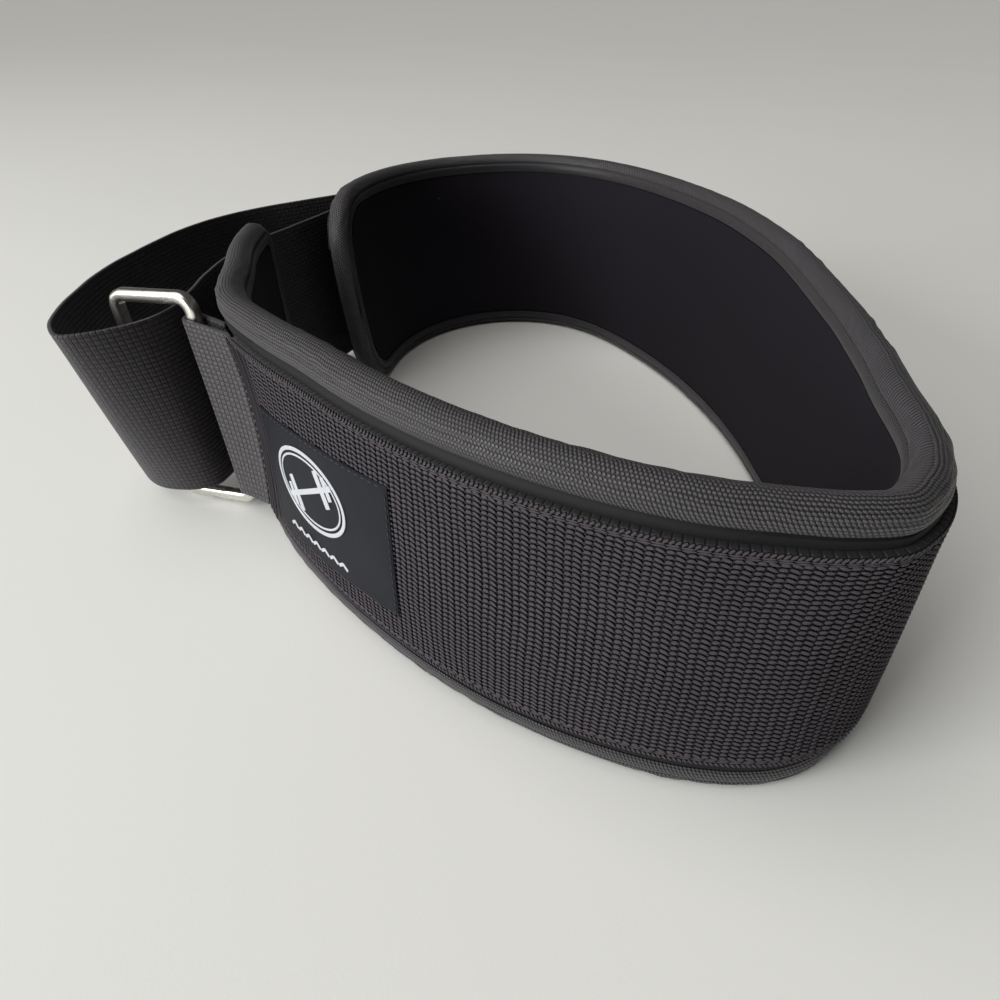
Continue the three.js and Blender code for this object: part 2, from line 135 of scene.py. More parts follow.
def apply_modifiers(piece: bpy.types.Object) -> None:
    """Applies every modifier of the piece, in order."""
    make_active(piece)
    for name in [modifier.name for modifier in piece.modifiers]:
        bpy.ops.object.modifier_apply(modifier=name)


def chart_flat(piece: bpy.types.Object) -> None:
    """Writes the flat cut's x and y, in metres, as the piece's UV map."""
    mesh = piece.data
    layer = mesh.uv_layers.active or mesh.uv_layers.new(name="UVMap")
    corners = np.empty(len(mesh.loops), np.int32)
    mesh.loops.foreach_get("vertex_index", corners)
    flat = points_of(piece)[corners, :2]
    layer.data.foreach_set("uv", flat.astype(np.float32).ravel())


def keep_rise(piece: bpy.types.Object) -> None:
    """Stores how high each vertex stands above the flat cloth, from 0 to 1, which the yarn finish reads to
    paint shade at each bump's foot.
    """
    height = points_of(piece)[:, 2]
    rise = piece.data.attributes.new("rise", "FLOAT", "POINT")
    rise.data.foreach_set("value", (height / height.max()).astype(np.float32))


def cut_sheet(name: str, length: float, width: float, columns: int, rows: int) -> bpy.types.Object:
    """Cuts a flat sheet of cloth with one corner at the origin.

    Args:
        name: The new piece's name.
        length: Its size along x, in metres.
        width: Its size along y, in metres.
        columns: Faces along x.
        rows: Faces along y.

    Returns:
        The flat sheet, charted in metres.
    """
    deselect_all()
    bpy.ops.mesh.primitive_grid_add(x_subdivisions=columns, y_subdivisions=rows, size=1.0)
    sheet = bpy.context.object
    sheet.name = name
    sheet.data.name = name
    points = points_of(sheet)
    points[:, 0] = (points[:, 0] + 0.5) * length
    points[:, 1] = (points[:, 1] + 0.5) * width
    set_points(sheet, points)
    chart_flat(sheet)
    return sheet


def lay(piece: bpy.types.Object, place: Placer) -> None:
    """Takes a piece from the flat, x along, y across and z above the cloth, to its place."""
    flat = points_of(piece)
    set_points(piece, place(flat[:, 0], flat[:, 1], flat[:, 2]))


def thicken(piece: bpy.types.Object, thickness: float, side: Side, rim: float = 0.0) -> None:
    """Gives a laid sheet its thickness, and rounds its rim.

    Args:
        piece: The laid sheet.
        thickness: The cloth's thickness, in metres.
        side: Which way the thickness goes.
        rim: Width of the rim's rounding, in metres, or none.
    """
    solid = piece.modifiers.new("thickness", "SOLIDIFY")
    solid.thickness = thickness
    solid.offset = side.value
    if rim:
        bevel = piece.modifiers.new("rim", "BEVEL")
        bevel.width = rim
        bevel.segments = 2
        bevel.limit_method = "ANGLE"
        bevel.angle_limit = math.radians(50)
    apply_modifiers(piece)


def shade_soft(piece: bpy.types.Object, sharp: float = 60.0) -> None:
    """Shades the piece smooth, except over edges sharper than this angle in degrees."""
    make_active(piece)
    bpy.ops.object.shade_smooth_by_angle(angle=math.radians(sharp))


def repeat_flat(piece: bpy.types.Object, count: int, step: float, axis: int = 0) -> None:
    """Repeats a flat piece along x (axis 0) or y (axis 1), and joins the copies."""
    array = piece.modifiers.new("repeat", "ARRAY")
    array.count = count
    array.use_relative_offset = False
    array.use_constant_offset = True
    array.constant_offset_displace = [step if index == axis else 0.0 for index in range(3)]
    apply_modifiers(piece)


def join_pieces(first: bpy.types.Object, *others: bpy.types.Object) -> bpy.types.Object:
    """Joins the others into the first piece and returns it."""
    make_active(first)
    for other in others:
        other.select_set(True)
    bpy.ops.object.join()
    return first


def yarn_bump(name: str, length: float, width: float, height: float, turn: float) -> bpy.types.Object:
    """Models one low bump of yarn, closed below, flat on the cloth at the origin.

    Args:
        name: The new piece's name.
        length: Its size along x before it is turned, in metres.
        width: Its size along y before it is turned, in metres.
        height: How far it stands above the cloth, in metres.
        turn: Degrees that it is turned to the left, seen from above.

    Returns:
        The bump.
    """
    deselect_all()
    bpy.ops.mesh.primitive_uv_sphere_add(segments=8, ring_count=4, radius=0.5)
    bump = bpy.context.object
    bump.name = name
    with editing(bump):
        bpy.ops.mesh.bisect(plane_co=(0, 0, -0.01), plane_no=(0, 0, 1), clear_inner=True, use_fill=True)
        bpy.ops.mesh.select_all(action="SELECT")
        bpy.ops.transform.resize(value=(length, width, 2 * height), center_override=(0, 0, 0))
    points = points_of(bump)
    shoulder = (points[:, 2] > 0.1 * height) & (points[:, 2] < 0.9 * height)
    points[shoulder] *= (1.2, 1.2, 1.15)
    points[:, 0], points[:, 1] = turned(points[:, 0], points[:, 1], turn)
    set_points(bump, points)
    return bump


class Spline:
    """A natural cubic curve through values at rising stations."""

    def __init__(self, at: Array, values: Array) -> None:
        """Works out the curve's second slopes from its stations and values."""
        self.at = at
        self.values = values
        gaps = np.diff(at)
        count = len(at)
        matrix = np.eye(count)
        right = np.zeros_like(values)
        for row in range(1, count - 1):
            matrix[row, row - 1 : row + 2] = gaps[row - 1], 2 * (gaps[row - 1] + gaps[row]), gaps[row]
            rise = (values[row + 1] - values[row]) / gaps[row]
            run = (values[row] - values[row - 1]) / gaps[row - 1]
            right[row] = 6 * (rise - run)
        self.bends = np.linalg.solve(matrix, right)

    def __call__(self, where: Array) -> Array:
        """The curve's values at these places."""
        index = np.clip(np.searchsorted(self.at, where) - 1, 0, len(self.at) - 2)
        gap = self.at[index + 1] - self.at[index]
        ahead = (where - self.at[index]) / gap
        behind = 1 - ahead
        if self.values.ndim > 1:
            gap, ahead, behind = gap[:, None], ahead[:, None], behind[:, None]
        line = behind * self.values[index] + ahead * self.values[index + 1]
        bend = (behind**3 - behind) * self.bends[index] + (ahead**3 - ahead) * self.bends[index + 1]
        return line + bend * gap**2 / 6


def run_of(points: Array) -> Array:
    """Length along a line of points, from its first one."""
    steps = np.linalg.norm(np.diff(points, axis=0), axis=1)
    return np.concatenate([[0.0], np.cumsum(steps)])


def spaced(at: Array, gap: float) -> list[int]:
    """The stations that are left when none may be within this gap of the one before."""
    kept = [0]
    for index in range(1, len(at)):
        if at[index] - at[kept[-1]] > gap:
            kept.append(index)
    return kept


def between(at: Array, where: Array) -> tuple[Array, Array]:
    """The station before each place, and the share of the way to the next one."""
    index = np.interp(where, at, np.arange(len(at)))
    low = np.clip(index.astype(int), 0, len(at) - 2)
    return low, index - low


def corner_rise(distance: Array, radius: float) -> Array:
    """How far a quarter round stands in from one side, at these distances from the other."""
    reach = np.clip(distance, 0, radius)
    return radius - np.sqrt(np.maximum(radius**2 - (radius - reach) ** 2, 0))


def outward(line: Array) -> Array:
    """The level direction to the right of each place of a line seen from above."""
    heading = np.gradient(line, axis=0)
    across = np.column_stack([heading[:, 1], -heading[:, 0]])
    return across / np.linalg.norm(across, axis=1)[:, None]


def end_lids(mesh: bmesh.types.BMesh, corners: int) -> set[frozenset[bmesh.types.BMFace]]:
    """Every group of touching triangles that has as many corners as a section of the band."""
    groups = {frozenset([face]) for face in mesh.faces}
    for _ in range(corners - 3):
        groups = {
            group | {beside}
            for group in groups
            for face in group
            for edge in face.edges
            for beside in edge.link_faces
            if beside not in group
        }
    return groups


def layers_from(lid: set[bmesh.types.BMVert], corners: int) -> list[set[bmesh.types.BMVert]]:
    """The band's corners section by section from one lid, or nothing if this is no lid."""
    seen = set(lid)
    layers = [seen.copy()]
    while layers[-1]:
        if len(layers[-1]) != corners:
            return []
        beyond = {edge.other_vert(corner) for corner in layers[-1] for edge in corner.link_edges}
        layers.append(beyond - seen)
        seen |= beyond
    return layers[:-1]


def level_lines(node: bpy.types.Object, start: Vector) -> Array:
    """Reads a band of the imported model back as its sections.

    Args:
        node: A node whose sections have a foot, a middle and a head corner on both faces.
        start: A point near the end where the band starts.

    Returns:
        An array of sections by level (foot, middle, head) by coordinate, midway between the faces.
    """
    corners = 6
    mesh = bmesh.new()
    mesh.from_mesh(node.data)
    bmesh.ops.remove_doubles(mesh, verts=mesh.verts, dist=MERGE)
    best: tuple[float, list] | None = None
    for group in end_lids(mesh, corners):
        lid = {corner for face in group for corner in face.verts}
        layers = layers_from(lid, corners) if len(lid) == corners else []
        middle = sum((corner.co for corner in lid), Vector()) / corners
        distance = (middle - start).length
        if layers and (best is None or distance < best[0]):
            best = (distance, layers)
    if best is None:
        raise ValueError(f"{node.name} has no sections of {corners} corners")
    sections = np.array([sorted((tuple(v.co) for v in layer), key=lambda co: co[2]) for layer in best[1]])
    mesh.free()
    return (sections[:, 0::2] + sections[:, 1::2]) / 2


def centre_of(node: str) -> Vector:
    """The middle of a node's box."""
    low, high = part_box(node)
    return (low + high) / 2


@dataclass(frozen=True)
class Extent:
    """Where a node lies on the wall: along it, up it and out from it, lowest and highest."""

    run: tuple[float, float]
    rise: tuple[float, float]
    offset: tuple[float, float]

    @property
    def length(self) -> float:
        """Size along the wall."""
        return self.run[1] - self.run[0]

    @property
    def width(self) -> float:
        """Size up the wall."""
        return self.rise[1] - self.rise[0]


class BeltWall:
    """The padded wall as one smooth surface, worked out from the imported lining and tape.

    A place on it is its run from the near end, its height, and its offset out of the padding's middle.
    """

    step = 0.5 * MM
    spare = 20 * MM
    closest = 2 * MM
    nudge = 0.2 * MM
    leg_share = 1 / 3

    def __init__(self, nodes: dict[str, bpy.types.Object]) -> None:
        """Reads the wall's path, lean and bow."""
        self.nodes = nodes
        self.height = cad_box[1].z
        levels = level_lines(nodes["lining"], centre_of("near_end_tape"))
        at = run_of(levels[:, 1, :2])
        kept = spaced(at, self.closest)
        levels, at = levels[kept], at[kept]
        self.leg = float(levels[:, 0, 2].min())
        middle = levels[:, 1, :2]
        curve = Spline(at, middle)
        heading = curve(np.minimum(at + self.nudge, at[-1])) - curve(np.maximum(at - self.nudge, 0))
        out = np.column_stack([heading[:, 1], -heading[:, 0]])
        out /= np.linalg.norm(out, axis=1)[:, None]
        foot_out = ((levels[:, 0, :2] - middle) * out).sum(axis=1)
        head_out = ((levels[:, 2, :2] - middle) * out).sum(axis=1)
        foot, head = levels[:, 0, 2], levels[:, 2, 2]
        lean = (head_out - foot_out) * self.height / (head - foot)
        straight = self.leg_share + (1 - self.leg_share) * (foot - self.leg) / (self.height / 2 - self.leg)
        bow = (head_out + foot_out) / 2 / (straight - 1)
        base = middle - out * (lean / 2 + bow)[:, None]
        where = np.arange(at[0], at[-1], self.step)
        self._spread(*(Spline(at, known)(where) for known in (base, lean, bow)))
        crown = points_of(nodes["top_tape"])
        crown = crown[crown[:, 2] > self.height - 0.02 * MM]
        lining_depth = self.locate(crown)[1].mean()
        known = self.inside
        self._spread((self.base + self.out * lining_depth)[known], self.lean[known], self.bow[known])
        near = self.locate(points_of(nodes["near_end_tape"]))[0].min()
        far = self.locate(points_of(nodes["far_end_tape"]))[0].max()
        self.run -= near
        self.length = float(far - near)
        top = self.extent("top_tape")
        self.corner_radii = (top.run[0], self.length - top.run[1])
        self.body = self.extent("padded_body")
        overlay = level_lines(nodes["outer_webbing"], centre_of("near_end_tape"))
        self.overlay_ends = (Vector(overlay[0, 1]), Vector(overlay[-1, 1]))
        log.info("wall %.1f mm long, corners %.1f and %.1f mm", self.length / MM,
                 self.corner_radii[0] / MM, self.corner_radii[1] / MM)

    def _spread(self, line: Array, leans: Array, bows: Array) -> None:
        """Keeps close samples of the wall, carried on a little past both of their ends."""
        before = self._carry_on(line[::-1])[::-1]
        after = self._carry_on(line)
        self.base = np.vstack([before, line, after])
        self.run = run_of(self.base)
        self.inside = slice(len(before), len(before) + len(line))
        known = self.run[self.inside]
        self.lean = np.interp(self.run, known, leans)
        self.bow = np.interp(self.run, known, bows)
        self.out = outward(self.base)

    def _carry_on(self, line: Array) -> Array:
        """More points past the end of a line, on the bend that it ends with."""
        reach = 20  # samples that the end's bend is read from
        first = line[-reach] - line[-2 * reach]
        last = line[-1] - line[-1 - reach]
        turn = math.atan2(last[1], last[0]) - math.atan2(first[1], first[0])
        turn = (turn + math.pi) % (2 * math.pi) - math.pi
        per_step = turn / reach
        step = float(np.linalg.norm(line[-1] - line[-2]))
        heading = math.atan2(last[1], last[0]) + turn / 2
        points = []
        place = line[-1].copy()
        for _ in range(int(self.spare / step)):
            place = place + step * np.array([math.cos(heading), math.sin(heading)])
            heading += per_step
            points.append(place)
        return np.array(points)

    def _shift(self, samples: slice | Array, z: Array) -> Array:
        """How far the wall's middle stands out at these samples and heights."""
        rise = np.minimum(z, self.height - z)
        below = self.leg_share * rise / self.leg
        inward = (self.height / 2 - rise) / (self.height / 2 - self.leg)
        above = self.leg_share + (1 - self.leg_share) * (1 - inward**2)
        share = np.where(rise < self.leg, below, above)
        return self.lean[samples] * z / self.height + self.bow[samples] * share

    def locate(self, points: Array) -> tuple[Array, Array]:
        """The run and the offset of each point, at its own height."""
        runs, offsets = [], []
        for point in points:
            shift = self._shift(slice(None), np.full(len(self.run), point[2]))
            line = self.base + self.out * shift[:, None]
            gap = point[:2] - line
            index = int((gap**2).sum(axis=1).argmin())
            runs.append(self.run[index])
            offsets.append(float(gap[index] @ self.out[index]))
        return np.array(runs), np.array(offsets)

    def extent(self, node: str) -> Extent:
        """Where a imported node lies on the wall."""
        points = np.unique(points_of(self.nodes[node]).round(6), axis=0)
        run, offset = self.locate(points)
        rise = points[:, 2]
        return Extent((run.min(), run.max()), (rise.min(), rise.max()), (offset.min(), offset.max()))

    def point(self, run: Array, z: Array, offset: Array) -> Array:
        """Rows of x, y and z for places on the wall."""
        low, share = between(self.run, run)
        shift = self._shift(low, z) * (1 - share) + self._shift(low + 1, z) * share
        share = share[:, None]
        base = self.base[low] * (1 - share) + self.base[low + 1] * share
        out = self.out[low] * (1 - share) + self.out[low + 1] * share
        plan = base + out * (offset + shift)[:, None]
        return np.column_stack([plan, z])


class Graph:
    """Builds the node tree of one material on its own shader."""

    def __init__(self, name: str) -> None:
        """Starts a material with only its shader and its output."""
        self.material = bpy.data.materials.new(name)
        self.material.use_nodes = True
        self.tree = self.material.node_tree
        self.shader = self.tree.nodes["Principled BSDF"]

    def add(self, kind: str, **settings: object) -> bpy.types.Node:
        """Adds a node and sets its properties."""
        node = self.tree.nodes.new(kind)
        for key, value in settings.items():
            setattr(node, key, value)
        return node

    def feed(self, socket: bpy.types.NodeSocket, value: object) -> None:
        """Links a socket to another, or gives it a plain value."""
        if isinstance(value, bpy.types.NodeSocket):
            self.tree.links.new(value, socket)
        else:
            socket.default_value = value

    def math(self, operation: str, *values: object) -> bpy.types.NodeSocket:
        """The result of a Math node on these values."""
        node = self.add("ShaderNodeMath", operation=operation)
        for socket, value in zip(node.inputs, values):
            self.feed(socket, value)
        return node.outputs[0]

    def mix(self, share: object, first: object, second: object) -> bpy.types.NodeSocket:
        """A colour between two others."""
        node = self.add("ShaderNodeMix", data_type="RGBA")
        self.feed(node.inputs["Factor"], share)
        self.feed(node.inputs[6], first)
        self.feed(node.inputs[7], second)
        return node.outputs[2]

    def ramp(self, value: object, low: float, high: float) -> bpy.types.NodeSocket:
        """Zero where the value is at low, one where it is at high, and smooth between."""
        node = self.add("ShaderNodeMapRange", interpolation_type="SMOOTHSTEP")
        self.feed(node.inputs["Value"], value)
        node.inputs["From Min"].default_value = low
        node.inputs["From Max"].default_value = high
        return node.outputs["Result"]

    def blend(self, share: object, first: object, second: object) -> bpy.types.NodeSocket:
        """A number between two others."""
        node = self.add("ShaderNodeMix", data_type="FLOAT")
        self.feed(node.inputs["Factor"], share)
        self.feed(node.inputs[2], first)
        self.feed(node.inputs[3], second)
        return node.outputs[0]

    def noise(self, scale: float, detail: float = 3.0, where: object = None) -> bpy.types.NodeSocket:
        """Smooth noise from 0 to 1 over the object's own coordinates, or over where."""
        node = self.add("ShaderNodeTexNoise")
        node.inputs["Scale"].default_value = scale
        node.inputs["Detail"].default_value = detail
        self.feed(node.inputs["Vector"], where or self.object_place())
        return node.outputs["Fac"]

    def object_place(self) -> bpy.types.NodeSocket:
        """The place on the object, in metres."""
        return self.add("ShaderNodeTexCoord").outputs["Object"]

    def cloth_place(self) -> tuple[bpy.types.NodeSocket, bpy.types.NodeSocket]:
        """The place on the flat cut, along and across, in metres."""
        split = self.add("ShaderNodeSeparateXYZ")
        self.feed(split.inputs[0], self.add("ShaderNodeUVMap").outputs[0])
        return split.outputs["X"], split.outputs["Y"]

    def relief(self, height: object, depth: float, strength: float = 1.0) -> None:
        """Bumps the surface by a height from 0 to 1, depth in metres."""
        node = self.add("ShaderNodeBump")
        node.inputs["Strength"].default_value = strength
        node.inputs["Distance"].default_value = depth
        self.feed(node.inputs["Height"], height)
        self.feed(self.shader.inputs["Normal"], node.outputs[0])

    def surface(self, colour: object, roughness: object, sheen: float = 0.0, **sockets: object) -> None:
        """Sets the shader's colour, roughness, sheen and any other sockets by name."""
        self.feed(self.shader.inputs["Base Color"], colour)
        self.feed(self.shader.inputs["Roughness"], roughness)
        self.shader.inputs["Sheen Weight"].default_value = sheen
        for name, value in sockets.items():
            self.feed(self.shader.inputs[name.replace("_", " ")], value)


Colour = tuple[float, float, float, float]


def soft_black(value: float) -> Colour:
    """A dark grey of dyed nylon, a little to the plum side."""
    return (value * 1.06, value * 0.94, value * 1.08, 1.0)


def shade_of(colour: Colour, share: float) -> Colour:
    """A colour made darker or lighter."""
    return (colour[0] * share, colour[1] * share, colour[2] * share, 1.0)


@dataclass(frozen=True)
class GrainWeave:
    """A close weave of small grains in brick rows, with darker slanted ridges short of a line, and painted
    shade on the leg that lies well short of it.
    """

    name: str
    yarn: Colour
    gap: Colour
    along: float
    across: float
    ridge_from: float = -1.0
    ridge_pitch: float = 1.25 * MM
    relief: float = 0.3 * MM
    roughness: float = 0.5
    sheen: float = 0.1
    gloss: float = 0.5

    def material(self) -> bpy.types.Material:
        """Builds the finish as a material."""
        graph = Graph(self.name)
        u, v = graph.cloth_place()
        wander = graph.math("MULTIPLY", graph.math("SUBTRACT", graph.noise(180.0, 1.0), 0.5), 0.8)
        rows = graph.math("ADD", graph.math("DIVIDE", v, self.across), wander)
        brick = graph.math("MULTIPLY", graph.math("FLOOR", rows), 0.5)
        slant = graph.math("MULTIPLY", graph.math("FRACT", rows), 0.35)
        turns = graph.math("ADD", graph.math("ADD", graph.math("DIVIDE", u, self.along), brick), slant)
        aside = graph.math("DIVIDE", graph.math("SUBTRACT", graph.math("FRACT", turns), 0.5), 0.53)
        above = graph.math("DIVIDE", graph.math("SUBTRACT", graph.math("FRACT", rows), 0.5), 0.5)
        squared = graph.math("ADD", graph.math("POWER", aside, 2.0), graph.math("POWER", above, 2.0))
        grains = graph.ramp(graph.math("SQRT", squared), 1.04, 0.45)
        lean = graph.math("DIVIDE", graph.math("ADD", u, graph.math("MULTIPLY", v, 0.8)), self.ridge_pitch)
        wave = graph.math("COSINE", graph.math("MULTIPLY", graph.math("ADD", lean, wander), 2 * math.pi))
        ridges = graph.ramp(wave, -0.9, 0.3)
        height = graph.blend(graph.ramp(v, self.ridge_from - 1.5 * MM, self.ridge_from + MM), ridges, grains)
        patchy = graph.mix(graph.noise(55.0, 4.0), shade_of(self.yarn, 0.75), shade_of(self.yarn, 1.3))
        # Painted shade: near the start of the cut, on the tape's inner leg, the yarn darkens to about a
        # fifth, standing in for the shade that falls there inside the belt.
        free_of_painted_leg_shade = graph.ramp(v, self.ridge_from - 9 * MM, self.ridge_from - 4 * MM)
        patchy = graph.mix(free_of_painted_leg_shade, shade_of(self.yarn, 0.22), patchy)
        fleck = graph.mix(graph.noise(2600.0, 2.0), shade_of(self.yarn, 0.7), patchy)
        graph.surface(graph.mix(height, self.gap, fleck), self.roughness, self.sheen, Sheen_Roughness=0.45,
                      Specular_IOR_Level=self.gloss)
        graph.relief(height, self.relief)
        return graph.material


@dataclass(frozen=True)
class GridWeave:
    """Plain webbing: square beads of yarn with dark lines between them both ways."""

    name: str
    yarn: Colour
    gap: Colour
    along: float
    across: float
    relief: float = 0.3 * MM
    roughness: float = 0.6
    sheen: float = 0.1

    def material(self) -> bpy.types.Material:
        """Builds the finish as a material."""
        graph = Graph(self.name)
        u, v = graph.cloth_place()
        drift = graph.math("MULTIPLY", graph.math("SUBTRACT", graph.noise(120.0, 2.0), 0.5), 0.9)
        warp = graph.math("SINE", graph.math("ADD", graph.math("MULTIPLY", u, math.pi / self.along), drift))
        weft = graph.math("SINE", graph.math("ADD", graph.math("MULTIPLY", v, math.pi / self.across), drift))
        beads = graph.ramp(graph.math("ABSOLUTE", warp), 0.0, 0.6)
        ribs = graph.ramp(graph.math("ABSOLUTE", weft), 0.1, 0.85)
        square = graph.math("MULTIPLY", beads, ribs)
        turn = graph.math("ADD", graph.math("MULTIPLY", graph.math("MULTIPLY", warp, weft), 0.16), 0.84)
        height = graph.math("MULTIPLY", square, turn)
        worn = graph.mix(graph.noise(45.0, 4.0), shade_of(self.yarn, 0.7), shade_of(self.yarn, 1.3))
        fleck = graph.mix(graph.noise(3000.0, 2.0), shade_of(self.yarn, 0.6), worn)
        graph.surface(graph.mix(height, self.gap, fleck), self.roughness, self.sheen, Sheen_Roughness=0.5)
        graph.relief(height, self.relief)
        return graph.material


@dataclass(frozen=True)
class YarnFinish:
    """Twisted synthetic yarn, seen bump by bump, with painted shade toward each bump's foot when a shade
    colour is given.
    """

    name: str
    light: Colour
    dark: Colour
    twist: float = 0.35 * MM
    roughness: float = 0.5
    sheen: float = 0.1
    painted_foot_shade: Colour | None = None
    gloss: float = 0.5

    def material(self) -> bpy.types.Material:
        """Builds the finish as a material."""
        graph = Graph(self.name)
        u, v = graph.cloth_place()
        lay_of_yarn = graph.math("ADD", graph.math("MULTIPLY", v, 2 * math.pi / self.twist),
                                 graph.math("MULTIPLY", u, math.pi / self.twist))
        strands = graph.math("ADD", graph.math("MULTIPLY", graph.math("SINE", lay_of_yarn), 0.5), 0.5)
        tone = graph.mix(graph.noise(900.0, 2.0), self.dark, self.light)
        aged = graph.mix(graph.noise(35.0, 3.0), self.dark, tone)
        # Painted shade: each bump darkens toward its foot by its stored rise, standing in for the shade in
        # the crevices between the bumps.
        if self.painted_foot_shade:
            rise = graph.add("ShaderNodeAttribute", attribute_name="rise").outputs["Fac"]
            aged = graph.mix(graph.ramp(rise, 0.1, 0.85), self.painted_foot_shade, aged)
        graph.surface(aged, self.roughness, self.sheen, Sheen_Roughness=0.4,
                      Specular_IOR_Level=self.gloss)
        graph.relief(strands, 0.05 * MM, 0.6)
        return graph.material


@dataclass(frozen=True)
class SoftFinish:
    """Smooth or brushed cloth with no weave to be seen, and a few specks of lint."""

    name: str
    base: Colour
    tint: Colour
    grain: float
    relief: float
    roughness: float
    lint: float = 0.0
    gloss: float = 0.5

    def material(self) -> bpy.types.Material:
        """Builds the finish as a material."""
        graph = Graph(self.name)
        cloudy = graph.mix(graph.noise(18.0, 5.0), self.base, self.tint)
        fine = graph.noise(self.grain, 3.0)
        colour = graph.mix(graph.math("MULTIPLY", fine, 0.5), cloudy, self.base)
        if self.lint:
            cells = graph.add("ShaderNodeTexVoronoi")
            cells.inputs["Scale"].default_value = 140.0
            graph.feed(cells.inputs["Vector"], graph.object_place())
            near = graph.math("LESS_THAN", cells.outputs["Distance"], 0.05)
            split = graph.add("ShaderNodeSeparateColor")
            graph.feed(split.inputs[0], cells.outputs["Color"])
            rare = graph.math("GREATER_THAN", split.outputs[0], 1.0 - self.lint)
            colour = graph.mix(graph.math("MULTIPLY", near, rare), colour, soft_black(0.3))
        graph.surface(colour, self.roughness, Specular_IOR_Level=self.gloss)
        graph.relief(fine, self.relief)
        return graph.material


@dataclass(frozen=True)
class PlatedSteel:
    """Bright nickel plate with faint wear."""

    name: str = "nickel_plate"

    def material(self) -> bpy.types.Material:
        """Builds the finish as a material."""
        graph = Graph(self.name)
        wear = graph.noise(90.0, 5.0)
        colour = graph.mix(wear, (0.88, 0.86, 0.8, 1.0), (0.76, 0.74, 0.68, 1.0))
        rough = graph.math("ADD", graph.math("MULTIPLY", wear, 0.16), 0.2)
        graph.surface(colour, rough, Metallic=1.0)
        graph.relief(graph.noise(1200.0, 2.0), 0.02 * MM, 0.3)
        return graph.material


@dataclass
class Finishes:
    """The belt's finishes, each made once."""

    tape: bpy.types.Material = field(default_factory=GrainWeave(
        "edge_tape_weave", soft_black(0.075), soft_black(0.002), 1.05 * MM, 1.05 * MM, 11 * MM).material)
    rib: bpy.types.Material = field(default_factory=YarnFinish(
        "overlay_yarn", soft_black(0.092), soft_black(0.058), sheen=0.0, painted_foot_shade=soft_black(0.002),
        gloss=0.04).material)
    fine: bpy.types.Material = field(default_factory=YarnFinish(
        "fine_rib_yarn", soft_black(0.04), soft_black(0.03), sheen=0.0, painted_foot_shade=soft_black(0.002),
        gloss=0.08).material)
    ground: bpy.types.Material = field(default_factory=GridWeave(
        "overlay_ground", soft_black(0.006), soft_black(0.002), 2.2 * MM, 0.9 * MM).material)
    strap: bpy.types.Material = field(default_factory=GridWeave(
        "strap_weave", (0.052, 0.041, 0.054, 1), soft_black(0.005), 2.0 * MM, 1.8 * MM).material)
    keeper: bpy.types.Material = field(default_factory=GridWeave(
        "keeper_weave", (0.08, 0.067, 0.08, 1), soft_black(0.007), 2.3 * MM, 2.2 * MM,
        relief=0.4 * MM).material)
    lining: bpy.types.Material = field(default_factory=SoftFinish(
        "brushed_lining", (0.0075, 0.0062, 0.0115, 1), (0.011, 0.0062, 0.011, 1), 1500.0, 0.08 * MM,
        0.95, lint=0.02, gloss=0.3).material)
    shell: bpy.types.Material = field(default_factory=SoftFinish(
        "smooth_shell", soft_black(0.007), soft_black(0.01), 2500.0, 0.06 * MM, 0.7, gloss=0.25).material)
    label: bpy.types.Material = field(default_factory=GrainWeave(
        "label_satin", (0.006, 0.007, 0.013, 1), (0.003, 0.0035, 0.007, 1), 0.5 * MM, 0.3 * MM,
        relief=0.05 * MM, roughness=0.5, sheen=0.0, gloss=0.15).material)
    mark: bpy.types.Material = field(default_factory=YarnFinish(
        "light_embroidery", (0.6, 0.61, 0.64, 1), (0.45, 0.46, 0.5, 1), 0.3 * MM, 0.5, 0.1).material)
    thread: bpy.types.Material = field(default_factory=YarnFinish(
        "black_thread", soft_black(0.04), soft_black(0.02), 0.3 * MM, 0.5, 0.1).material)
    nickel: bpy.types.Material = field(default_factory=PlatedSteel().material)


def finish_piece(piece: bpy.types.Object, material: bpy.types.Material) -> None:
    """Dresses a finished piece, sets it on the belt and reports it."""
    piece.data.materials.clear()
    piece.data.materials.append(material)
    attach(piece, BODY)
    log.info("%s: %d faces", piece.name, len(piece.data.polygons))


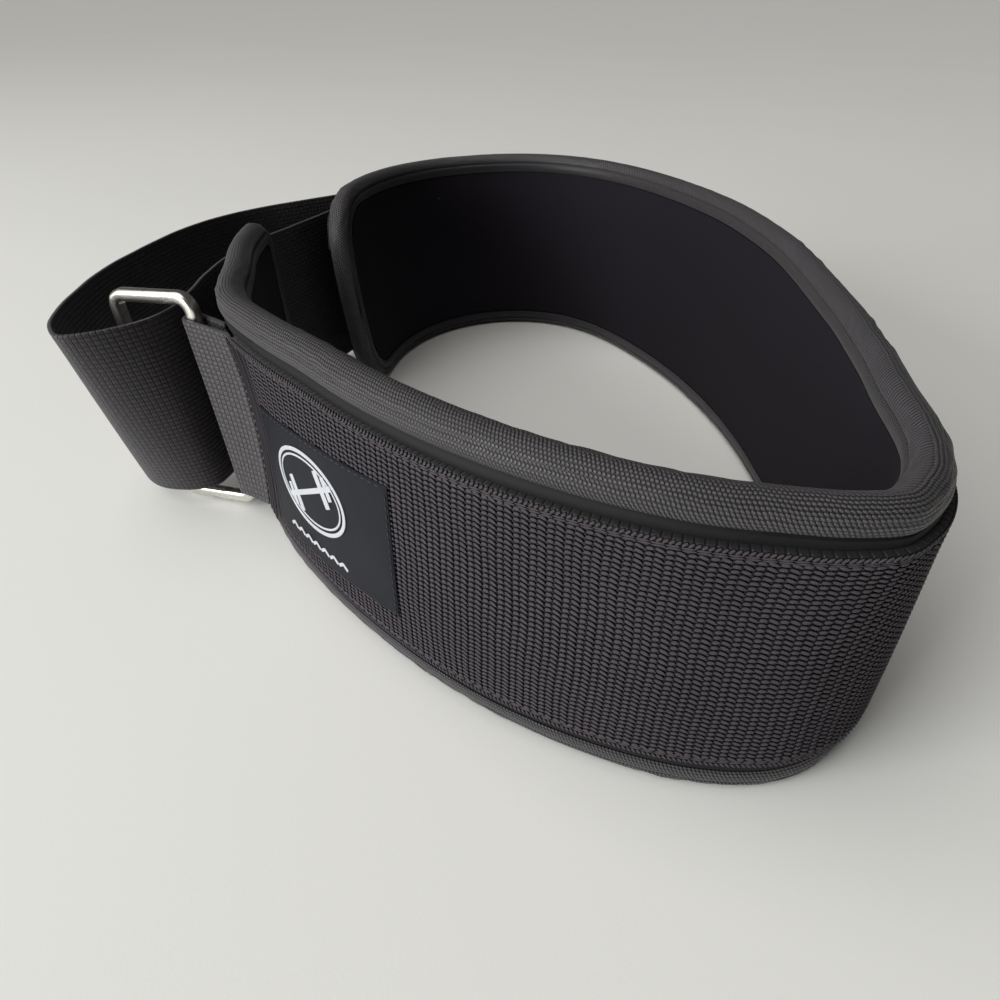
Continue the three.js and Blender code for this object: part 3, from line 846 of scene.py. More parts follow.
@dataclass
class PaddedBody:
    """The foam with its smooth outer skin, and the brushed lining on the waist side."""

    wall: BeltWall
    finishes: Finishes
    grain: float = 2.5 * MM
    lining_thickness: float = 1.1 * MM
    puff: float = 1.4 * MM
    welt: float = 0.7 * MM

    def build(self) -> None:
        """Builds the foam and the lining."""
        self._foam()
        self._lining()

    def _foam(self) -> None:
        """A closed pad with a soft welt where it swells out between the tape and the overlay."""
        body = self.wall.body
        overlay = self.wall.extent("outer_webbing")
        lining = self.wall.extent("lining")
        height = self.wall.height
        inner = lining.offset[1] - 0.3 * MM
        outer = overlay.offset[0] - 0.3 * MM
        slim = -inner - 0.4 * MM
        edge = body.rise[0]
        leg = lining.rise[0]
        hem = leg - 0.7 * MM
        brim = overlay.rise[0] + 0.9 * MM
        half = [
            (0.0, edge), (slim * 0.6, edge + 0.6 * MM), (slim, edge + 2.4 * MM), (slim, hem - 0.8 * MM),
            (outer - 0.6 * MM, hem), (outer + self.welt * 0.6, hem + 0.7 * MM),
            (outer + self.welt, (hem + brim) / 2), (outer + self.welt * 0.8, brim - 1.0 * MM),
            (outer + self.welt * 0.3, brim - 0.4 * MM), (outer, brim + 0.2 * MM), (outer, height * 0.4),
        ]
        outside = half + [(offset, height - z) for offset, z in reversed(half)]
        back = [(inner, height - leg), (inner, height * 0.7), (inner, height * 0.3), (inner, leg)]
        profile = np.array(outside + back)
        pad = cut_sheet("foam_body", body.length, 1.0, int(body.length / self.grain), len(profile))

        def wrap(x: Array, y: Array, lift: Array) -> Array:
            """Wraps the flat cut round the pad's section."""
            corner = np.rint(y * len(profile)).astype(int) % len(profile)
            offset, z = profile[corner, 0], profile[corner, 1]
            run = body.run[0] + x
            inset = self._inset(run)
            return self.wall.point(run, np.clip(z, inset, height - inset), offset)

        lay(pad, wrap)
        with editing(pad):
            bpy.ops.mesh.remove_doubles(threshold=MERGE)
            bpy.ops.mesh.select_all(action="DESELECT")
            bpy.ops.mesh.select_non_manifold()
            bpy.ops.mesh.edge_face_add()
            bpy.ops.mesh.select_all(action="SELECT")
            bpy.ops.mesh.normals_make_consistent(inside=False)
        shade_soft(pad, 50)
        finish_piece(pad, self.finishes.shell)
        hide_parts("padded_body")

    def _inset(self, run: Array) -> Array:
        """Height that the rounded corners take from the foam at these runs."""
        near, far = self.wall.corner_radii
        depth = self.wall.body.rise[0]
        inset = np.zeros_like(run)
        for distance, radius in ((run, near), (self.wall.length - run, far)):
            inset = np.maximum(inset, depth + corner_rise(distance - depth, radius - depth))
        return inset

    def _lining(self) -> None:
        """The lining as a cloth held at its seams, which the foam puffs out toward the waist."""
        place = self.wall.extent("lining")
        length, width = place.length, place.width
        seam = place.offset[1] - self.lining_thickness
        near, far = self.wall.corner_radii
        sheet = cut_sheet("brushed_lining", length, width, int(length / (1.6 * self.grain)), 22)

        def on_wall(x: Array, y: Array, lift: Array) -> Array:
            """Lays the cut on the wall, between its rounded corners."""
            run = place.run[0] + x
            foot = np.zeros_like(run)
            for distance, radius in ((x, near - place.run[0]), (length - x, far - place.run[0])):
                foot = np.maximum(foot, corner_rise(distance, radius))
            z = place.rise[0] + foot + (width - 2 * foot) * y / width
            return self.wall.point(run, z, np.full_like(run, seam) - lift)

        flat = points_of(sheet)
        lay(sheet, on_wall)
        self._inflate(sheet, flat, length, width)
        rounded = sheet.modifiers.new("fine", "SUBSURF")
        rounded.levels = rounded.render_levels = 1
        apply_modifiers(sheet)
        thicken(sheet, self.lining_thickness, Side.OUTWARD)
        shade_soft(sheet)
        finish_piece(sheet, self.finishes.lining)
        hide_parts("lining")

    def _inflate(self, sheet: bpy.types.Object, flat: Array, length: float, width: float) -> None:
        """Simulates the lining as cloth pressed out by the foam, and caps how far it moves."""
        at_rest = points_of(sheet)
        seam = 5 * MM
        held = (flat[:, 1] < seam) | (flat[:, 1] > width - seam) | (flat[:, 0] < seam)
        held |= flat[:, 0] > length - seam
        group = sheet.vertex_groups.new(name="seams")
        group.add(np.flatnonzero(held).tolist(), 1.0, "REPLACE")
        cloth = sheet.modifiers.new("cloth", "CLOTH")
        cloth.settings.vertex_group_mass = group.name
        cloth.settings.use_pressure = True
        cloth.settings.uniform_pressure_force = -2.5
        cloth.settings.shrink_min = 0.012
        cloth.settings.effector_weights.gravity = 0.0
        cloth.settings.quality = 5
        frames = 20
        for number in range(1, frames + 1):
            bpy.context.scene.frame_set(number)
        apply_modifiers(sheet)
        bpy.context.scene.frame_set(1)
        moved = points_of(sheet) - at_rest
        far = np.linalg.norm(moved, axis=1)
        log.info("lining puffs by up to %.2f mm", far.max() / MM)
        capped = np.tanh(far / self.puff) * self.puff
        scale = np.divide(capped, far, out=np.zeros_like(far), where=far > 0)
        set_points(sheet, at_rest + moved * scale[:, None])
        sheet.vertex_groups.clear()


@dataclass
class EdgeTape:
    """One folded tape round the whole edge, with a stitched valley along its outer and inner leg."""

    wall: BeltWall
    finishes: Finishes
    grain: float = 1.5 * MM
    folds: int = 34
    thickness: float = 1.0 * MM
    roll: float = 0.3 * MM
    valley: float = 0.75 * MM
    valley_width: float = 0.5 * MM
    valley_depth: float = 3.7 * MM
    hem: float = 0.3 * MM
    crinkle: float = 0.5 * MM
    stitch_pitch: float = 2.6 * MM

    def __post_init__(self) -> None:
        """Reads the tape's own sizes and works out its route round the edge."""
        top = self.wall.extent("top_tape")
        height = self.wall.height
        self.half = top.offset[1]
        self.reach = height - top.rise[0] - self.hem
        self.leg = self.reach - self.half
        self.arc = math.pi * self.half
        self.cut = 2 * self.leg + self.arc
        self.dip = self.valley_depth - self.half + self.half * math.pi / 2
        near, far = self.wall.corner_radii
        length = self.wall.length
        corners = [(length - far, far, far, -90), (length - far, height - far, far, 0),
                   (near, height - near, near, 90), (near, near, near, 180)]
        stops = [(near, 0.0, -90.0)]
        steps = 24
        for run, z, radius, start in corners:
            for step in range(steps + 1):
                angle = start + 90 * step / steps
                turn = math.radians(angle)
                stops.append((run + radius * math.cos(turn), z + radius * math.sin(turn), angle))
        self.route = np.array(stops)
        self.at = run_of(self.route[:, :2])
        self.perimeter = float(self.at[-1])

    def place(self, x: Array, y: Array, lift: Array) -> Array:
        """Folds the flat tape over the edge: x along it, y from the inner leg to the outer."""
        run, z, angle = (np.interp(x, self.at, self.route[:, column]) for column in range(3))
        turn = np.radians(angle)
        bend = np.clip((y - self.leg) / self.half, 0, math.pi)
        offset = -self.half * np.cos(bend)
        depth = self.half - self.half * np.sin(bend)
        depth += np.maximum(self.leg - y, 0) + np.maximum(y - self.leg - self.arc, 0)
        offset -= lift * np.cos(bend)
        depth -= lift * np.sin(bend)
        up = z - depth * np.sin(turn)
        return self.wall.point(run - depth * np.cos(turn), np.maximum(up, 0.0), offset)

    def _lift(self, x: Array, y: Array) -> Array:
        """How far the tape rolls out, dips at its stitches and crinkles between them."""
        tip = np.minimum(self.cut - y, y)
        from_crown = self.cut / 2 - tip
        run = np.interp(x, self.at, self.route[:, 0])
        pulled = np.where(y > self.cut / 2, 0.35 + 0.65 * np.exp(-((run / (160 * MM)) ** 2)), 1.0)
        lift = -self.valley * pulled * np.exp(-(((from_crown - self.dip) / self.valley_width) ** 2))
        hem_drop = 0.3 * MM
        lift -= hem_drop * np.exp(-((tip / (0.5 * MM)) ** 2))
        lift += self.roll * np.cos(np.clip(from_crown / self.dip, 0, 1) * math.pi / 2)
        lift += 0.6 * self.roll * np.exp(-(((tip - 1.9 * MM) / (1.2 * MM)) ** 2))
        # Two sets of slanted waves cross and wander, and fade in and out along the tape.
        wander = 1.6 * np.sin(x / 0.0097 + 0.4) + 1.1 * np.sin(x / 0.0041) + 0.8 * np.sin(x / 0.0157 + 2)
        ridge = np.sin(y / (0.5 * MM) + x / (2.6 * MM) + wander)
        ridge += 0.6 * np.sin(y / (0.8 * MM) - x / (3.9 * MM) + 1.4 * wander + 1)
        band = np.exp(-(((from_crown - 0.62 * self.dip) / (2.4 * MM)) ** 2))
        patchy = 0.5 + 0.5 * np.sin(x / 0.0131 + np.sin(x / 0.0057))
        return lift + self.crinkle * 0.5 * ridge * band * patchy

    def _close_folds(self, y: Array) -> Array:
        """Moves evenly spaced rows closer together round both stitched valleys."""
        even = np.linspace(0, self.cut, 400)
        from_crown = np.abs(even - self.cut / 2)
        crowd = 1 + 3.5 * np.exp(-(((from_crown - self.dip) / (1.1 * MM)) ** 2))
        at = np.concatenate([[0.0], np.cumsum((crowd[1:] + crowd[:-1]) / 2)])
        return np.interp(y, at / at[-1] * self.cut, even)

    def _wander_hem(self, x: Array, y: Array) -> Array:
        """Lets the outer leg run a little wide and narrow, as sewn by hand."""
        hem = self.leg + self.arc
        share = 0.9 + 0.07 * np.sin(x / 0.041 + 0.8) + 0.03 * np.sin(x / 0.0123)
        return np.where(y > hem, hem + (y - hem) * share, y)

    def build(self) -> None:
        """Builds the tape and its stitches."""
        tape = cut_sheet("folded_edge_tape", self.perimeter, self.cut,
                         int(self.perimeter / self.grain), self.folds)
        flat = points_of(tape)
        flat[:, 1] = self._close_folds(flat[:, 1])
        set_points(tape, flat)
        chart_flat(tape)
        flat[:, 2] = self._lift(flat[:, 0], flat[:, 1])
        flat[:, 1] = self._wander_hem(flat[:, 0], flat[:, 1])
        set_points(tape, flat)
        lay(tape, self.place)
        with editing(tape):
            bpy.ops.mesh.remove_doubles(threshold=MERGE)
        thicken(tape, self.thickness, Side.INWARD)
        shade_soft(tape)
        finish_piece(tape, self.finishes.tape)
        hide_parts("top_tape", "bottom_tape", "near_end_tape", "far_end_tape")
        self._stitches()

    def _stitches(self) -> None:
        """Short stitches along the valley on both sides."""
        middle = self.cut / 2
        lines = []
        for name, across in (("inner", middle - self.dip), ("outer", middle + self.dip)):
            line = yarn_bump(f"tape_stitches_{name}", 1.6 * MM, 0.4 * MM, 0.2 * MM, 8)
            repeat_flat(line, int(self.perimeter / self.stitch_pitch), self.stitch_pitch)
            shift_points(line, y=across, z=0.05 * MM - self.valley)
            lines.append(line)
        stitches = join_pieces(*lines)
        stitches.name = "tape_stitches"
        chart_flat(stitches)
        lay(stitches, self.place)
        shade_soft(stitches)
        finish_piece(stitches, self.finishes.thread)


def fine_ribs(name: str, length: float, width: float, height: float) -> bpy.types.Object:
    """A flat field of fine level ribs, from the origin along x and up y."""
    columns = max(1, round(length / (4.6 * MM)))
    step = length / columns
    pitch = 1.0 * MM
    ribs = yarn_bump(name, step * 1.04, 0.85 * MM, height, 0.0)
    repeat_flat(ribs, columns, step)
    repeat_flat(ribs, int(width / pitch), pitch, axis=1)
    points = points_of(ribs)
    points[:, 0] += step / 2
    points[:, 1] += pitch / 2 + 0.12 * MM * np.sin(points[:, 0] / (3 * MM) + points[:, 1] / (2.3 * MM))
    set_points(ribs, points)
    return ribs


@dataclass
class WovenOverlay:
    """The coarse webbing on the outside, with every bump of its ribs standing on a close ground."""

    wall: BeltWall
    finishes: Finishes
    rib_pitch: float = 4.35 * MM
    row_pitch: float = 1.66 * MM
    border: float = 3.5 * MM
    trim: float = 0.8 * MM
    bump_height: float = 0.7 * MM
    loop_pitch: float = 1.3 * MM
    fine_length: float = 9.5 * MM

    def __post_init__(self) -> None:
        """Reads where the overlay lies on the wall."""
        where = self.wall.extent("outer_webbing")
        self.start = where.run[0]
        self.length = where.length
        self.foot = where.rise[0] + self.trim
        self.width = where.width - 2 * self.trim
        self.inner = where.offset[0]
        self.ground = where.offset[1] - self.bump_height - self.inner

    def place(self, x: Array, y: Array, lift: Array) -> Array:
        """Lays the flat webbing on the wall; lift is above its ground."""
        return self.wall.point(self.start + x, self.foot + y, self.inner + self.ground + lift)

    def _settle(self, x: Array, y: Array) -> tuple[Array, Array]:
        """Small wanderings that keep the weave from being ruler straight."""
        aside = 0.22 * MM * np.sin(y / (9 * MM) + x / (37 * MM))
        aside += 0.12 * MM * np.sin(x / (5.3 * MM) + y / (4 * MM))
        along = 0.2 * MM * np.sin(x / (14 * MM))
        along += 0.12 * MM * np.sin(y / (6.1 * MM) + x / (8.7 * MM))
        spread = -1.1 * MM * np.sin(y / self.width * 2 * math.pi)
        return x + aside, y + along + spread

    def build(self) -> None:
        """Builds the ground, both kinds of rib and the selvedges."""
        ground = cut_sheet("overlay_ground", self.length, self.width, int(self.length / (2.5 * MM)), 24)
        lay(ground, self.place)
        thicken(ground, self.ground, Side.INWARD, 0.3 * MM)
        shade_soft(ground)
        finish_piece(ground, self.finishes.ground)
        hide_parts("outer_webbing")
        coarse = self.length - self.fine_length
        columns = int(coarse / self.rib_pitch)
        rows = int((self.width - 2 * self.border) / self.row_pitch) + 1
        first = (self.width - (rows - 1) * self.row_pitch) / 2
        spare = self.fine_length + (coarse - (columns - 1) * self.rib_pitch) / 2
        ribs = [
            ("overlay_slanted_ribs", 2.6 * MM, 1.12 * MM, -24.0, -1.1 * MM),
            ("overlay_level_ribs", 1.95 * MM, 1.2 * MM, 8.0, 1.1 * MM),
        ]
        made = []
        for name, length, width, turn, aside in ribs:
            rib = yarn_bump(name, length, width, self.bump_height, turn)
            repeat_flat(rib, columns, self.rib_pitch)
            repeat_flat(rib, rows, self.row_pitch, axis=1)
            points = points_of(rib)
            points[:, 0] += spare + aside
            points[:, 1] += first
            points[:, 0], points[:, 1] = self._settle(points[:, 0], points[:, 1])
            set_points(rib, points)
            made.append(rib)
        made.append(self._selvedges())
        fine = fine_ribs("overlay_fine_ribs", self.fine_length, self.width - 2 * MM, 0.5 * MM)
        shift_points(fine, y=MM)
        made.append(fine)
        for rib in made:
            chart_flat(rib)
            keep_rise(rib)
            lay(rib, self.place)
            shade_soft(rib)
            finish_piece(rib, self.finishes.fine if rib is fine else self.finishes.rib)

    def _selvedges(self) -> bpy.types.Object:
        """Slanted loops along both edges, with two straight strands inside them."""
        parts = []
        loops = int(self.length / self.loop_pitch)
        for name, across, turn in (("head", self.width - 0.75 * MM, 52.0), ("foot", 0.75 * MM, -52.0)):
            loop = yarn_bump(f"selvedge_{name}", 1.9 * MM, 0.75 * MM, 0.6 * MM, turn)
            repeat_flat(loop, loops, self.loop_pitch)
            shift_points(loop, 0.6 * self.loop_pitch, across)
            parts.append(loop)
        strand_pitch = 3.1 * MM
        for depth in (1.75 * MM, 2.4 * MM):
            for index, across in enumerate((depth, self.width - depth)):
                strand = yarn_bump(f"strand_{index}", 3.6 * MM, 0.7 * MM, 0.5 * MM, 3.0)
                repeat_flat(strand, int((self.length - 4 * MM) / strand_pitch), strand_pitch)
                shift_points(strand, 2 * MM + depth / 2, across)
                parts.append(strand)
        edges = join_pieces(*parts)
        edges.name = "overlay_selvedges"
        return edges


@dataclass
class LabelPatch:
    """A small satin patch with a plain embroidered badge: a barbell inside a double ring."""

    wall: BeltWall
    finishes: Finishes
    thickness: float = 0.6 * MM
    raised: float = 0.3 * MM
    tilt: float = 27.0

    def __post_init__(self) -> None:
        """Reads the patch's place and its slant on the wall."""
        levels = level_lines(self.wall.nodes["label_patch"], centre_of("near_end_tape"))
        where = self.wall.extent("label_patch")
        self.start = where.run[0]
        self.length = where.length
        self.foot = float(levels[0, 0, 2])
        self.climb = float(levels[-1, 0, 2] - levels[0, 0, 2])
        self.height = float(levels[0, 2, 2] - levels[0, 0, 2])
        self.offset = where.offset[0]

    def place(self, x: Array, y: Array, lift: Array) -> Array:
        """Lays the flat patch on the overlay, climbing as it goes; lift is above its face."""
        z = self.foot + self.climb * x / self.length + y
        return self.wall.point(self.start + x, z, self.offset + self.thickness + lift)

    def build(self) -> None:
        """Builds the patch, its stitches and its badge."""
        patch = cut_sheet("label_patch_cloth", self.length, self.height, 50, 32)
        flat = points_of(patch)
        rim = np.minimum(np.minimum(flat[:, 0], self.length - flat[:, 0]),
                         np.minimum(flat[:, 1], self.height - flat[:, 1]))
        flat[:, 2] = -0.25 * MM * np.exp(-((rim / (1.0 * MM)) ** 2))
        flat[:, 2] += 0.12 * MM * np.sin(flat[:, 0] / (6 * MM)) * np.sin(flat[:, 1] / (5 * MM))
        set_points(patch, flat)
        lay(patch, self.place)
        thicken(patch, self.thickness, Side.INWARD, 0.15 * MM)
        shade_soft(patch)
        finish_piece(patch, self.finishes.label)
        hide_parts("label_patch")
        badge = self._badge()
        stitches = self._stitches()

    def _dress(self, piece: bpy.types.Object, material: bpy.types.Material) -> bpy.types.Object:
        """Lays a flat piece on the patch and finishes it."""
        chart_flat(piece)
        lay(piece, self.place)
        shade_soft(piece, 40)
        finish_piece(piece, material)
        return piece

    def _plate(self, x: float, y: float, length: float, width: float) -> bpy.types.Object:
        """One raised, round-cornered bar of satin stitch."""
        bar = cut_sheet("bar", length, width, 6, 6)
        shift_points(bar, x - length / 2, y - width / 2)
        thicken(bar, self.raised, Side.OUTWARD, 0.25 * MM)
        return bar

    def _ring(self, x: float, y: float, length: float, width: float, band: float) -> bpy.types.Object:
        """One raised oval ring."""
        deselect_all()
        bpy.ops.mesh.primitive_circle_add(vertices=72, radius=0.5, fill_type="NGON")
        ring = bpy.context.object
        with editing(ring):
            bpy.ops.transform.resize(value=(length, width, 1), center_override=(0, 0, 0))
            bpy.ops.mesh.inset(thickness=band, depth=0)
            bpy.ops.mesh.delete(type="FACE")
        shift_points(ring, x, y)
        thicken(ring, self.raised, Side.OUTWARD, 0.2 * MM)
        return ring

    def _badge(self) -> bpy.types.Object:
        """The barbell, its ring and a row of small chevrons below."""
        x = self.length * 0.42
        y = self.height * 0.58
        parts = [self._ring(x, y, 44 * MM, 30 * MM, 1.5 * MM), self._ring(x, y, 39 * MM, 25 * MM, 0.8 * MM)]
        bell = [self._plate(0, 0, 35 * MM, 2.0 * MM)]
        for distance, width, height in ((10.4, 3.0, 13.5), (14.0, 2.4, 8.5)):
            for way in (-1, 1):
                bell.append(self._plate(way * distance * MM, 0, width * MM, height * MM))
        barbell = join_pieces(*bell)
        points = points_of(barbell)
        points[:, 0], points[:, 1] = turned(points[:, 0], points[:, 1], self.tilt)
        set_points(barbell, points + (x, y, 0))
        parts.append(barbell)
        for index in range(7):
            for way in (-1, 1):
                tick = self._plate(0, 0, 3.2 * MM, 1.3 * MM)
                points = points_of(tick)
                points[:, 0], points[:, 1] = turned(points[:, 0], points[:, 1], 35 * way)
                across = x + (index - 3) * 5.6 * MM - way * 1.2 * MM
                set_points(tick, points + (across, self.height * 0.13, 0))
                parts.append(tick)
        badge = join_pieces(*parts)
        badge.name = "label_badge"
        return self._dress(badge, self.finishes.mark)

    def _stitches(self) -> bpy.types.Object:
        """Dark stitches round the patch's edge."""
        pitch = 3.0 * MM
        inset = 0.9 * MM
        parts = []
        for across in (inset, self.height - inset):
            row = yarn_bump("row", 1.9 * MM, 0.32 * MM, 0.2 * MM, 4)
            repeat_flat(row, int((self.length - 2 * inset) / pitch), pitch)
            shift_points(row, 2.2 * MM, across)
            parts.append(row)
        for along in (inset, self.length - inset):
            row = yarn_bump("row", 0.32 * MM, 1.9 * MM, 0.2 * MM, 4)
            repeat_flat(row, int((self.height - 2 * inset) / pitch), pitch, axis=1)
            shift_points(row, along, 2.2 * MM)
            parts.append(row)
        stitches = join_pieces(*parts)
        stitches.name = "label_stitches"
        return self._dress(stitches, self.finishes.thread)


class WebbingBand:
    """A band of webbing on its edge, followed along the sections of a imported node."""

    step = 1.0 * MM
    closest = 0.8 * MM

    def __init__(self, levels: Array, creased: bool) -> None:
        """Smooths the sections, all of them or only round their creases."""
        if creased:
            for _ in range(2):
                near = levels[:-1] * 0.75 + levels[1:] * 0.25
                far = levels[:-1] * 0.25 + levels[1:] * 0.75
                between = np.stack([near, far], axis=1).reshape(-1, 3, 3)
                levels = np.concatenate([levels[:1], between, levels[-1:]])
        at = run_of(levels[:, 1])
        kept = [index for index in spaced(at, self.closest) if at[-1] - at[index] > self.closest]
        kept.append(len(at) - 1)
        levels, at = levels[kept], at[kept]
        where = np.arange(0, at[-1] + self.step / 2, self.step)
        where[-1] = min(where[-1], at[-1])
        if creased:
            flat = levels.reshape(-1, 9)
            dense = np.column_stack([np.interp(where, at, flat[:, column]) for column in range(9)])
        else:
            dense = Spline(at, levels.reshape(-1, 9))(where)
        self.levels = dense.reshape(-1, 3, 3)
        self.at = where
        self.length = float(where[-1])
        self.width = float(np.mean(levels[:, 2, 2] - levels[:, 0, 2]))
        self.right = np.stack([outward(self.levels[:, level, :2]) for level in range(3)], axis=1)

    def place(self, x: Array, y: Array, lift: Array) -> Array:
        """Lays the flat band on its edge; lift is out of its right-hand face."""
        low, share = between(self.at, x)
        share = share[:, None, None]
        levels = self.levels[low] * (1 - share) + self.levels[low + 1] * share
        right = self.right[low] * (1 - share) + self.right[low + 1] * share
        t = np.clip(y / self.width, 0, 1)
        weights = np.stack([(1 - t) * (1 - 2 * t), 4 * t * (1 - t), t * (2 * t - 1)], axis=1)[:, :, None]
        points = (levels * weights).sum(axis=1)
        across = (right * weights).sum(axis=1)
        across /= np.linalg.norm(across, axis=1)[:, None]
        points[:, :2] += across * lift[:, None]
        return points


@dataclass
class KeeperLoop:
    """The folded webbing that holds the ring at the near end."""

    wall: BeltWall
    finishes: Finishes
    thickness: float = 1.5 * MM
    tail: float = 13.0 * MM
    pinch: float = 0.5 * MM

    def build(self) -> None:
        """Builds the keeper and the seam on its tail."""
        lines = level_lines(self.wall.nodes["keeper_loop"], self.wall.overlay_ends[0])
        band = WebbingBand(lines, creased=True)
        loop = cut_sheet("keeper_webbing", band.length, band.width, int(band.length / (0.8 * MM)), 30)
        flat = points_of(loop)
        flat[:, 2] = ribbed_lift(flat[:, 0], flat[:, 1], band.width)
        flat[:, 2] += self.pinch * np.exp(-(((flat[:, 0] - self.tail) / (1.2 * MM)) ** 2))
        set_points(loop, flat)
        lay(loop, band.place)
        thicken(loop, self.thickness, Side.BOTH, 0.35 * MM)
        shade_soft(loop)
        finish_piece(loop, self.finishes.keeper)
        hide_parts("keeper_loop")
        ribs = self._tail_ribs(band)
        seam = self._seam(band)

    def _outside(self, band: WebbingBand) -> Placer:
        """Lays flat pieces on the keeper's outer face, which is on the band's left."""
        return lambda x, y, lift: band.place(x, y, -self.thickness / 2 - lift)

    def _tail_ribs(self, band: WebbingBand) -> bpy.types.Object:
        """Fine ribs on the tail, which lies on the belt."""
        ribs = fine_ribs("keeper_tail_ribs", self.tail - 1.5 * MM, band.width - MM, 0.4 * MM)
        shift_points(ribs, y=0.5 * MM)
        chart_flat(ribs)
        keep_rise(ribs)
        lay(ribs, self._outside(band))
        shade_soft(ribs)
        finish_piece(ribs, self.finishes.fine)
        return ribs

    def _seam(self, band: WebbingBand) -> bpy.types.Object:
        """A row of stitches beside the crease."""
        pitch = 3.2 * MM
        seam = yarn_bump("keeper_seam", 0.5 * MM, 2.2 * MM, 0.55 * MM, 0.0)
        repeat_flat(seam, int((band.width - 4 * MM) / pitch), pitch, axis=1)
        shift_points(seam, self.tail - 0.9 * MM, 3 * MM)
        chart_flat(seam)
        lay(seam, self._outside(band))
        shade_soft(seam)
        finish_piece(seam, self.finishes.thread)
        return seam


def ribbed_lift(x: Array, y: Array, width: float) -> Array:
    """A band's slight rise and fall: a fuller selvedge and soft ripples along it."""
    rim = np.minimum(y, width - y)
    lift = 0.12 * MM * np.sin(x / (7 * MM) + 2.2 * np.sin(y / (21 * MM)))
    return lift + 0.1 * MM * np.exp(-((rim / (2.2 * MM)) ** 2)) * np.sin(x / (3.1 * MM))


@dataclass
class Strap:
    """One length of webbing: sewn to the far end, through the ring, and back along the outside."""

    wall: BeltWall
    finishes: Finishes
    thickness: float = 1.5 * MM

    def build(self) -> None:
        """Builds the strap."""
        lines = level_lines(self.wall.nodes["strap"], self.wall.overlay_ends[1])
        band = WebbingBand(lines, creased=False)
        strap = cut_sheet("strap_webbing", band.length, band.width, int(band.length / (1.8 * MM)), 30)
        flat = points_of(strap)
        flat[:, 2] = ribbed_lift(flat[:, 0], flat[:, 1], band.width)
        set_points(strap, flat)
        lay(strap, band.place)
        thicken(strap, self.thickness, Side.BOTH, 0.35 * MM)
        shade_soft(strap)
        finish_piece(strap, self.finishes.strap)
        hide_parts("strap")


@dataclass
class SteelRing:
    """A rounded rectangle of soft-edged square bar, leaning in its keeper."""

    wall: BeltWall
    finishes: Finishes
    corner: float = 5.0 * MM
    squareness: float = 3.6
    sides: int = 24
    corner_steps: int = 10

    def build(self) -> None:
        """Sweeps one section along the bars and round the corners, then stands the ring in place."""
        points = points_of(self.wall.nodes["steel_ring"])
        points = np.unique(points.round(6), axis=0)
        low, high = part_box("steel_ring")
        centre = (np.array(low) + np.array(high)) / 2
        plan = points[:, :2] - centre[:2]
        across_plan = np.linalg.svd(plan, full_matrices=False)[2][0]
        across = np.array([across_plan[0], across_plan[1], 0.0])
        side = np.array([-across[1], across[0], 0.0])
        wire = float(np.abs((points - centre) @ side).max())
        in_plane = np.column_stack([(points - centre) @ across, points[:, 2] - centre[2]])
        lean, half_width, half_height = self._best_lean(in_plane, wire)
        ring = self._flat_ring(half_width, half_height, wire)
        flat = points_of(ring)
        turned_x = flat[:, 0] * math.cos(lean) + flat[:, 1] * math.sin(lean)
        turned_z = flat[:, 1] * math.cos(lean) - flat[:, 0] * math.sin(lean)
        placed = centre + turned_x[:, None] * across + turned_z[:, None] * np.array([0, 0, 1.0])
        set_points(ring, placed + flat[:, 2][:, None] * side)
        with editing(ring):
            bpy.ops.mesh.normals_make_consistent(inside=False)
        shade_soft(ring)
        finish_piece(ring, self.finishes.nickel)
        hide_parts("steel_ring")

    def _best_lean(self, in_plane: Array, wire: float) -> tuple[float, float, float]:
        """The lean at which the ring's outline has the smallest box, and that box's halves."""
        best = (math.inf, 0.0, 0.0, 0.0)
        for tenths in range(-150, 151):
            lean = math.radians(tenths / 10)
            x = in_plane[:, 0] * math.cos(lean) - in_plane[:, 1] * math.sin(lean)
            z = in_plane[:, 0] * math.sin(lean) + in_plane[:, 1] * math.cos(lean)
            area = np.ptp(x) * np.ptp(z)
            if area < best[0]:
                best = (area, lean, np.ptp(x) / 2 - wire, np.ptp(z) / 2 - wire)
        return best[1:]

    def _flat_ring(self, half_width: float, half_height: float, wire: float) -> bpy.types.Object:
        """The ring in its own plane, x across and y up, swept from one section."""
        deselect_all()
        bpy.ops.mesh.primitive_circle_add(vertices=self.sides, radius=wire, location=(half_width, 0, 0),
                                          rotation=(math.pi / 2, 0, 0))
        ring = bpy.context.object
        ring.name = "steel_ring_wire"
        bpy.ops.object.transform_apply(location=True, rotation=True, scale=True)
        points = points_of(ring)
        x, z = (points[:, 0] - half_width) / wire, points[:, 2] / wire
        square = (np.abs(x) ** self.squareness + np.abs(z) ** self.squareness) ** (-1 / self.squareness)
        points[:, 0] = half_width + x * square * wire
        points[:, 2] = z * square * wire
        set_points(ring, points)
        straight_x = half_width - self.corner
        straight_y = half_height - self.corner
        moves = [(0, straight_y), (-2 * straight_x, 0), (0, -2 * straight_y), (2 * straight_x, 0),
                 (0, straight_y)]
        middles = [(straight_x, straight_y), (-straight_x, straight_y), (-straight_x, -straight_y),
                   (straight_x, -straight_y)]
        with editing(ring):
            for index, (right, up) in enumerate(moves):
                bpy.ops.mesh.extrude_region_move(TRANSFORM_OT_translate={"value": (right, up, 0)})
                if index < len(middles):
                    bpy.ops.mesh.spin(steps=self.corner_steps, angle=-math.pi / 2,
                                      center=(*middles[index], 0), axis=(0, 0, 1))
            bpy.ops.mesh.select_all(action="SELECT")
            bpy.ops.mesh.remove_doubles(threshold=0.01 * MM)
        return ring


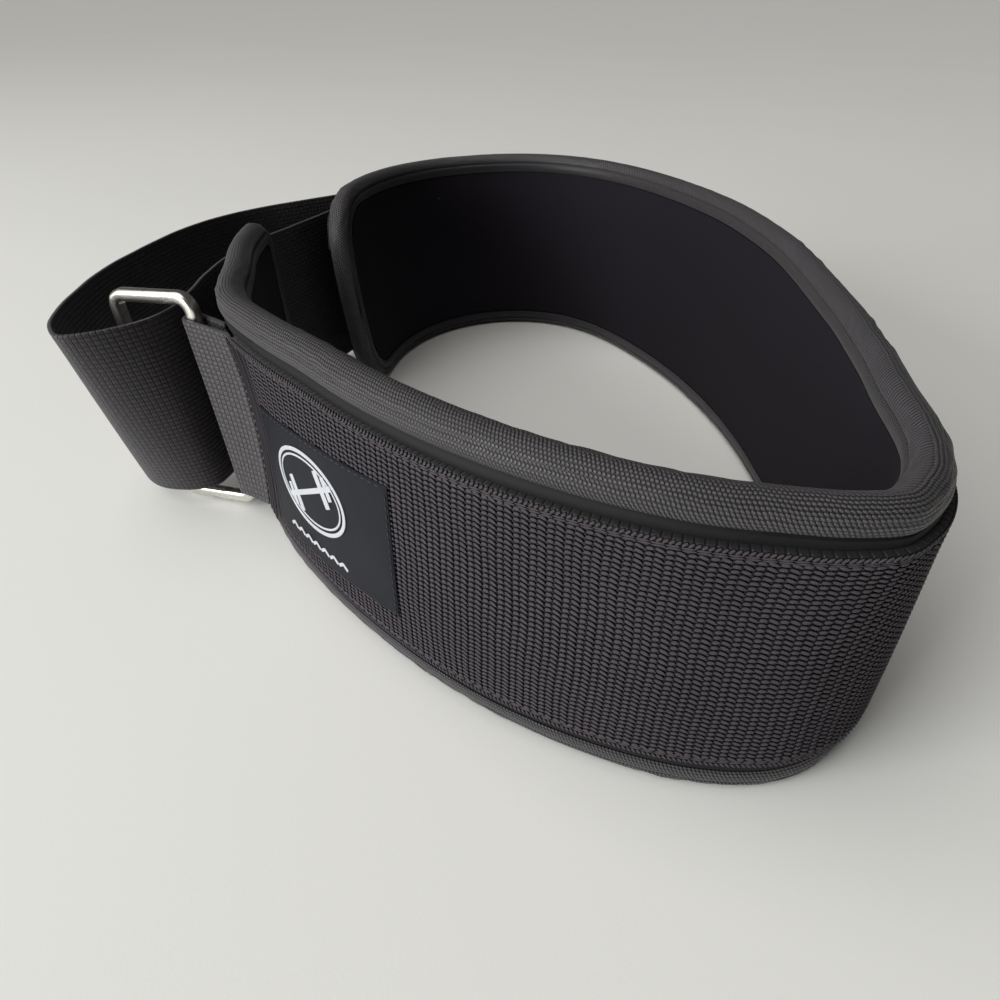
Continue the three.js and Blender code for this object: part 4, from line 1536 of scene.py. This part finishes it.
@dataclass
class Studio:
    """A pale floor, soft light and the camera at the photograph's angle."""

    lens: float = 25.70
    pitch: float = 53.57
    eye: tuple[float, float, float] = (20.745 * MM, -287.085 * MM, 184.94 * MM)

    def build(self) -> None:
        """Builds the floor, the lights and the camera."""
        self._floor()
        self._lights()
        self._camera()

    def _floor(self) -> None:
        """A wide, level, pale floor."""
        deselect_all()
        bpy.ops.mesh.primitive_plane_add(size=60.0, location=(0, 0, 0))
        floor = bpy.context.object
        floor.name = "floor"
        graph = Graph("pale_floor")
        tone = graph.mix(graph.noise(3.0, 3.0), (0.84, 0.835, 0.815, 1), (0.88, 0.875, 0.855, 1))
        graph.surface(tone, 0.9)
        graph.relief(graph.noise(900.0, 2.0), 0.05 * MM, 0.4)
        floor.data.materials.append(graph.material)

    def _lights(self) -> None:
        """A low, broad window in front on the left, soft light from above, and an even dim room."""
        data = bpy.data.lights.new("window", "AREA")
        data.size = 1.1
        data.energy = 38.0
        data.color = (0.98, 1.0, 0.985)
        window = bpy.data.objects.new("window", data)
        window.location = (-1.5, -0.95, 0.5)
        window.rotation_euler = (-window.location).to_track_quat("-Z", "Y").to_euler()
        bpy.context.scene.collection.objects.link(window)
        data = bpy.data.lights.new("ceiling", "SUN")
        data.energy = 1.6
        data.color = (1.0, 0.985, 0.95)
        data.angle = math.radians(60)
        ceiling = bpy.data.objects.new("ceiling", data)
        ceiling.rotation_euler = (math.radians(4), math.radians(-26), 0.0)
        bpy.context.scene.collection.objects.link(ceiling)
        world = bpy.data.worlds.new("room")
        world.use_nodes = True
        background = world.node_tree.nodes["Background"]
        background.inputs["Color"].default_value = (0.92, 0.93, 0.92, 1.0)
        background.inputs["Strength"].default_value = 0.05
        bpy.context.scene.world = world
        bpy.context.scene.view_settings.view_transform = "Standard"

    def _camera(self) -> None:
        """The camera, level from side to side and looking down at the belt."""
        data = bpy.data.cameras.new("camera")
        data.sensor_width = 36.0
        data.lens = self.lens
        data.clip_start = 0.01
        camera = bpy.data.objects.new("camera", data)
        camera.location = self.eye
        camera.rotation_euler = (math.radians(self.pitch), 0.0, 0.0)
        bpy.context.scene.collection.objects.link(camera)
        bpy.context.scene.camera = camera


def main() -> None:
    """Builds the studio and every piece of the belt, in order."""
    logging.basicConfig(level=logging.INFO, format="%(name)s: %(message)s")
    Studio().build()
    wall = BeltWall(frame["nodes"])
    finishes = Finishes()
    for part in (PaddedBody, EdgeTape, WovenOverlay, LabelPatch, KeeperLoop, Strap, SteelRing):
        part(wall, finishes).build()


if __name__ == "__main__":
    main()
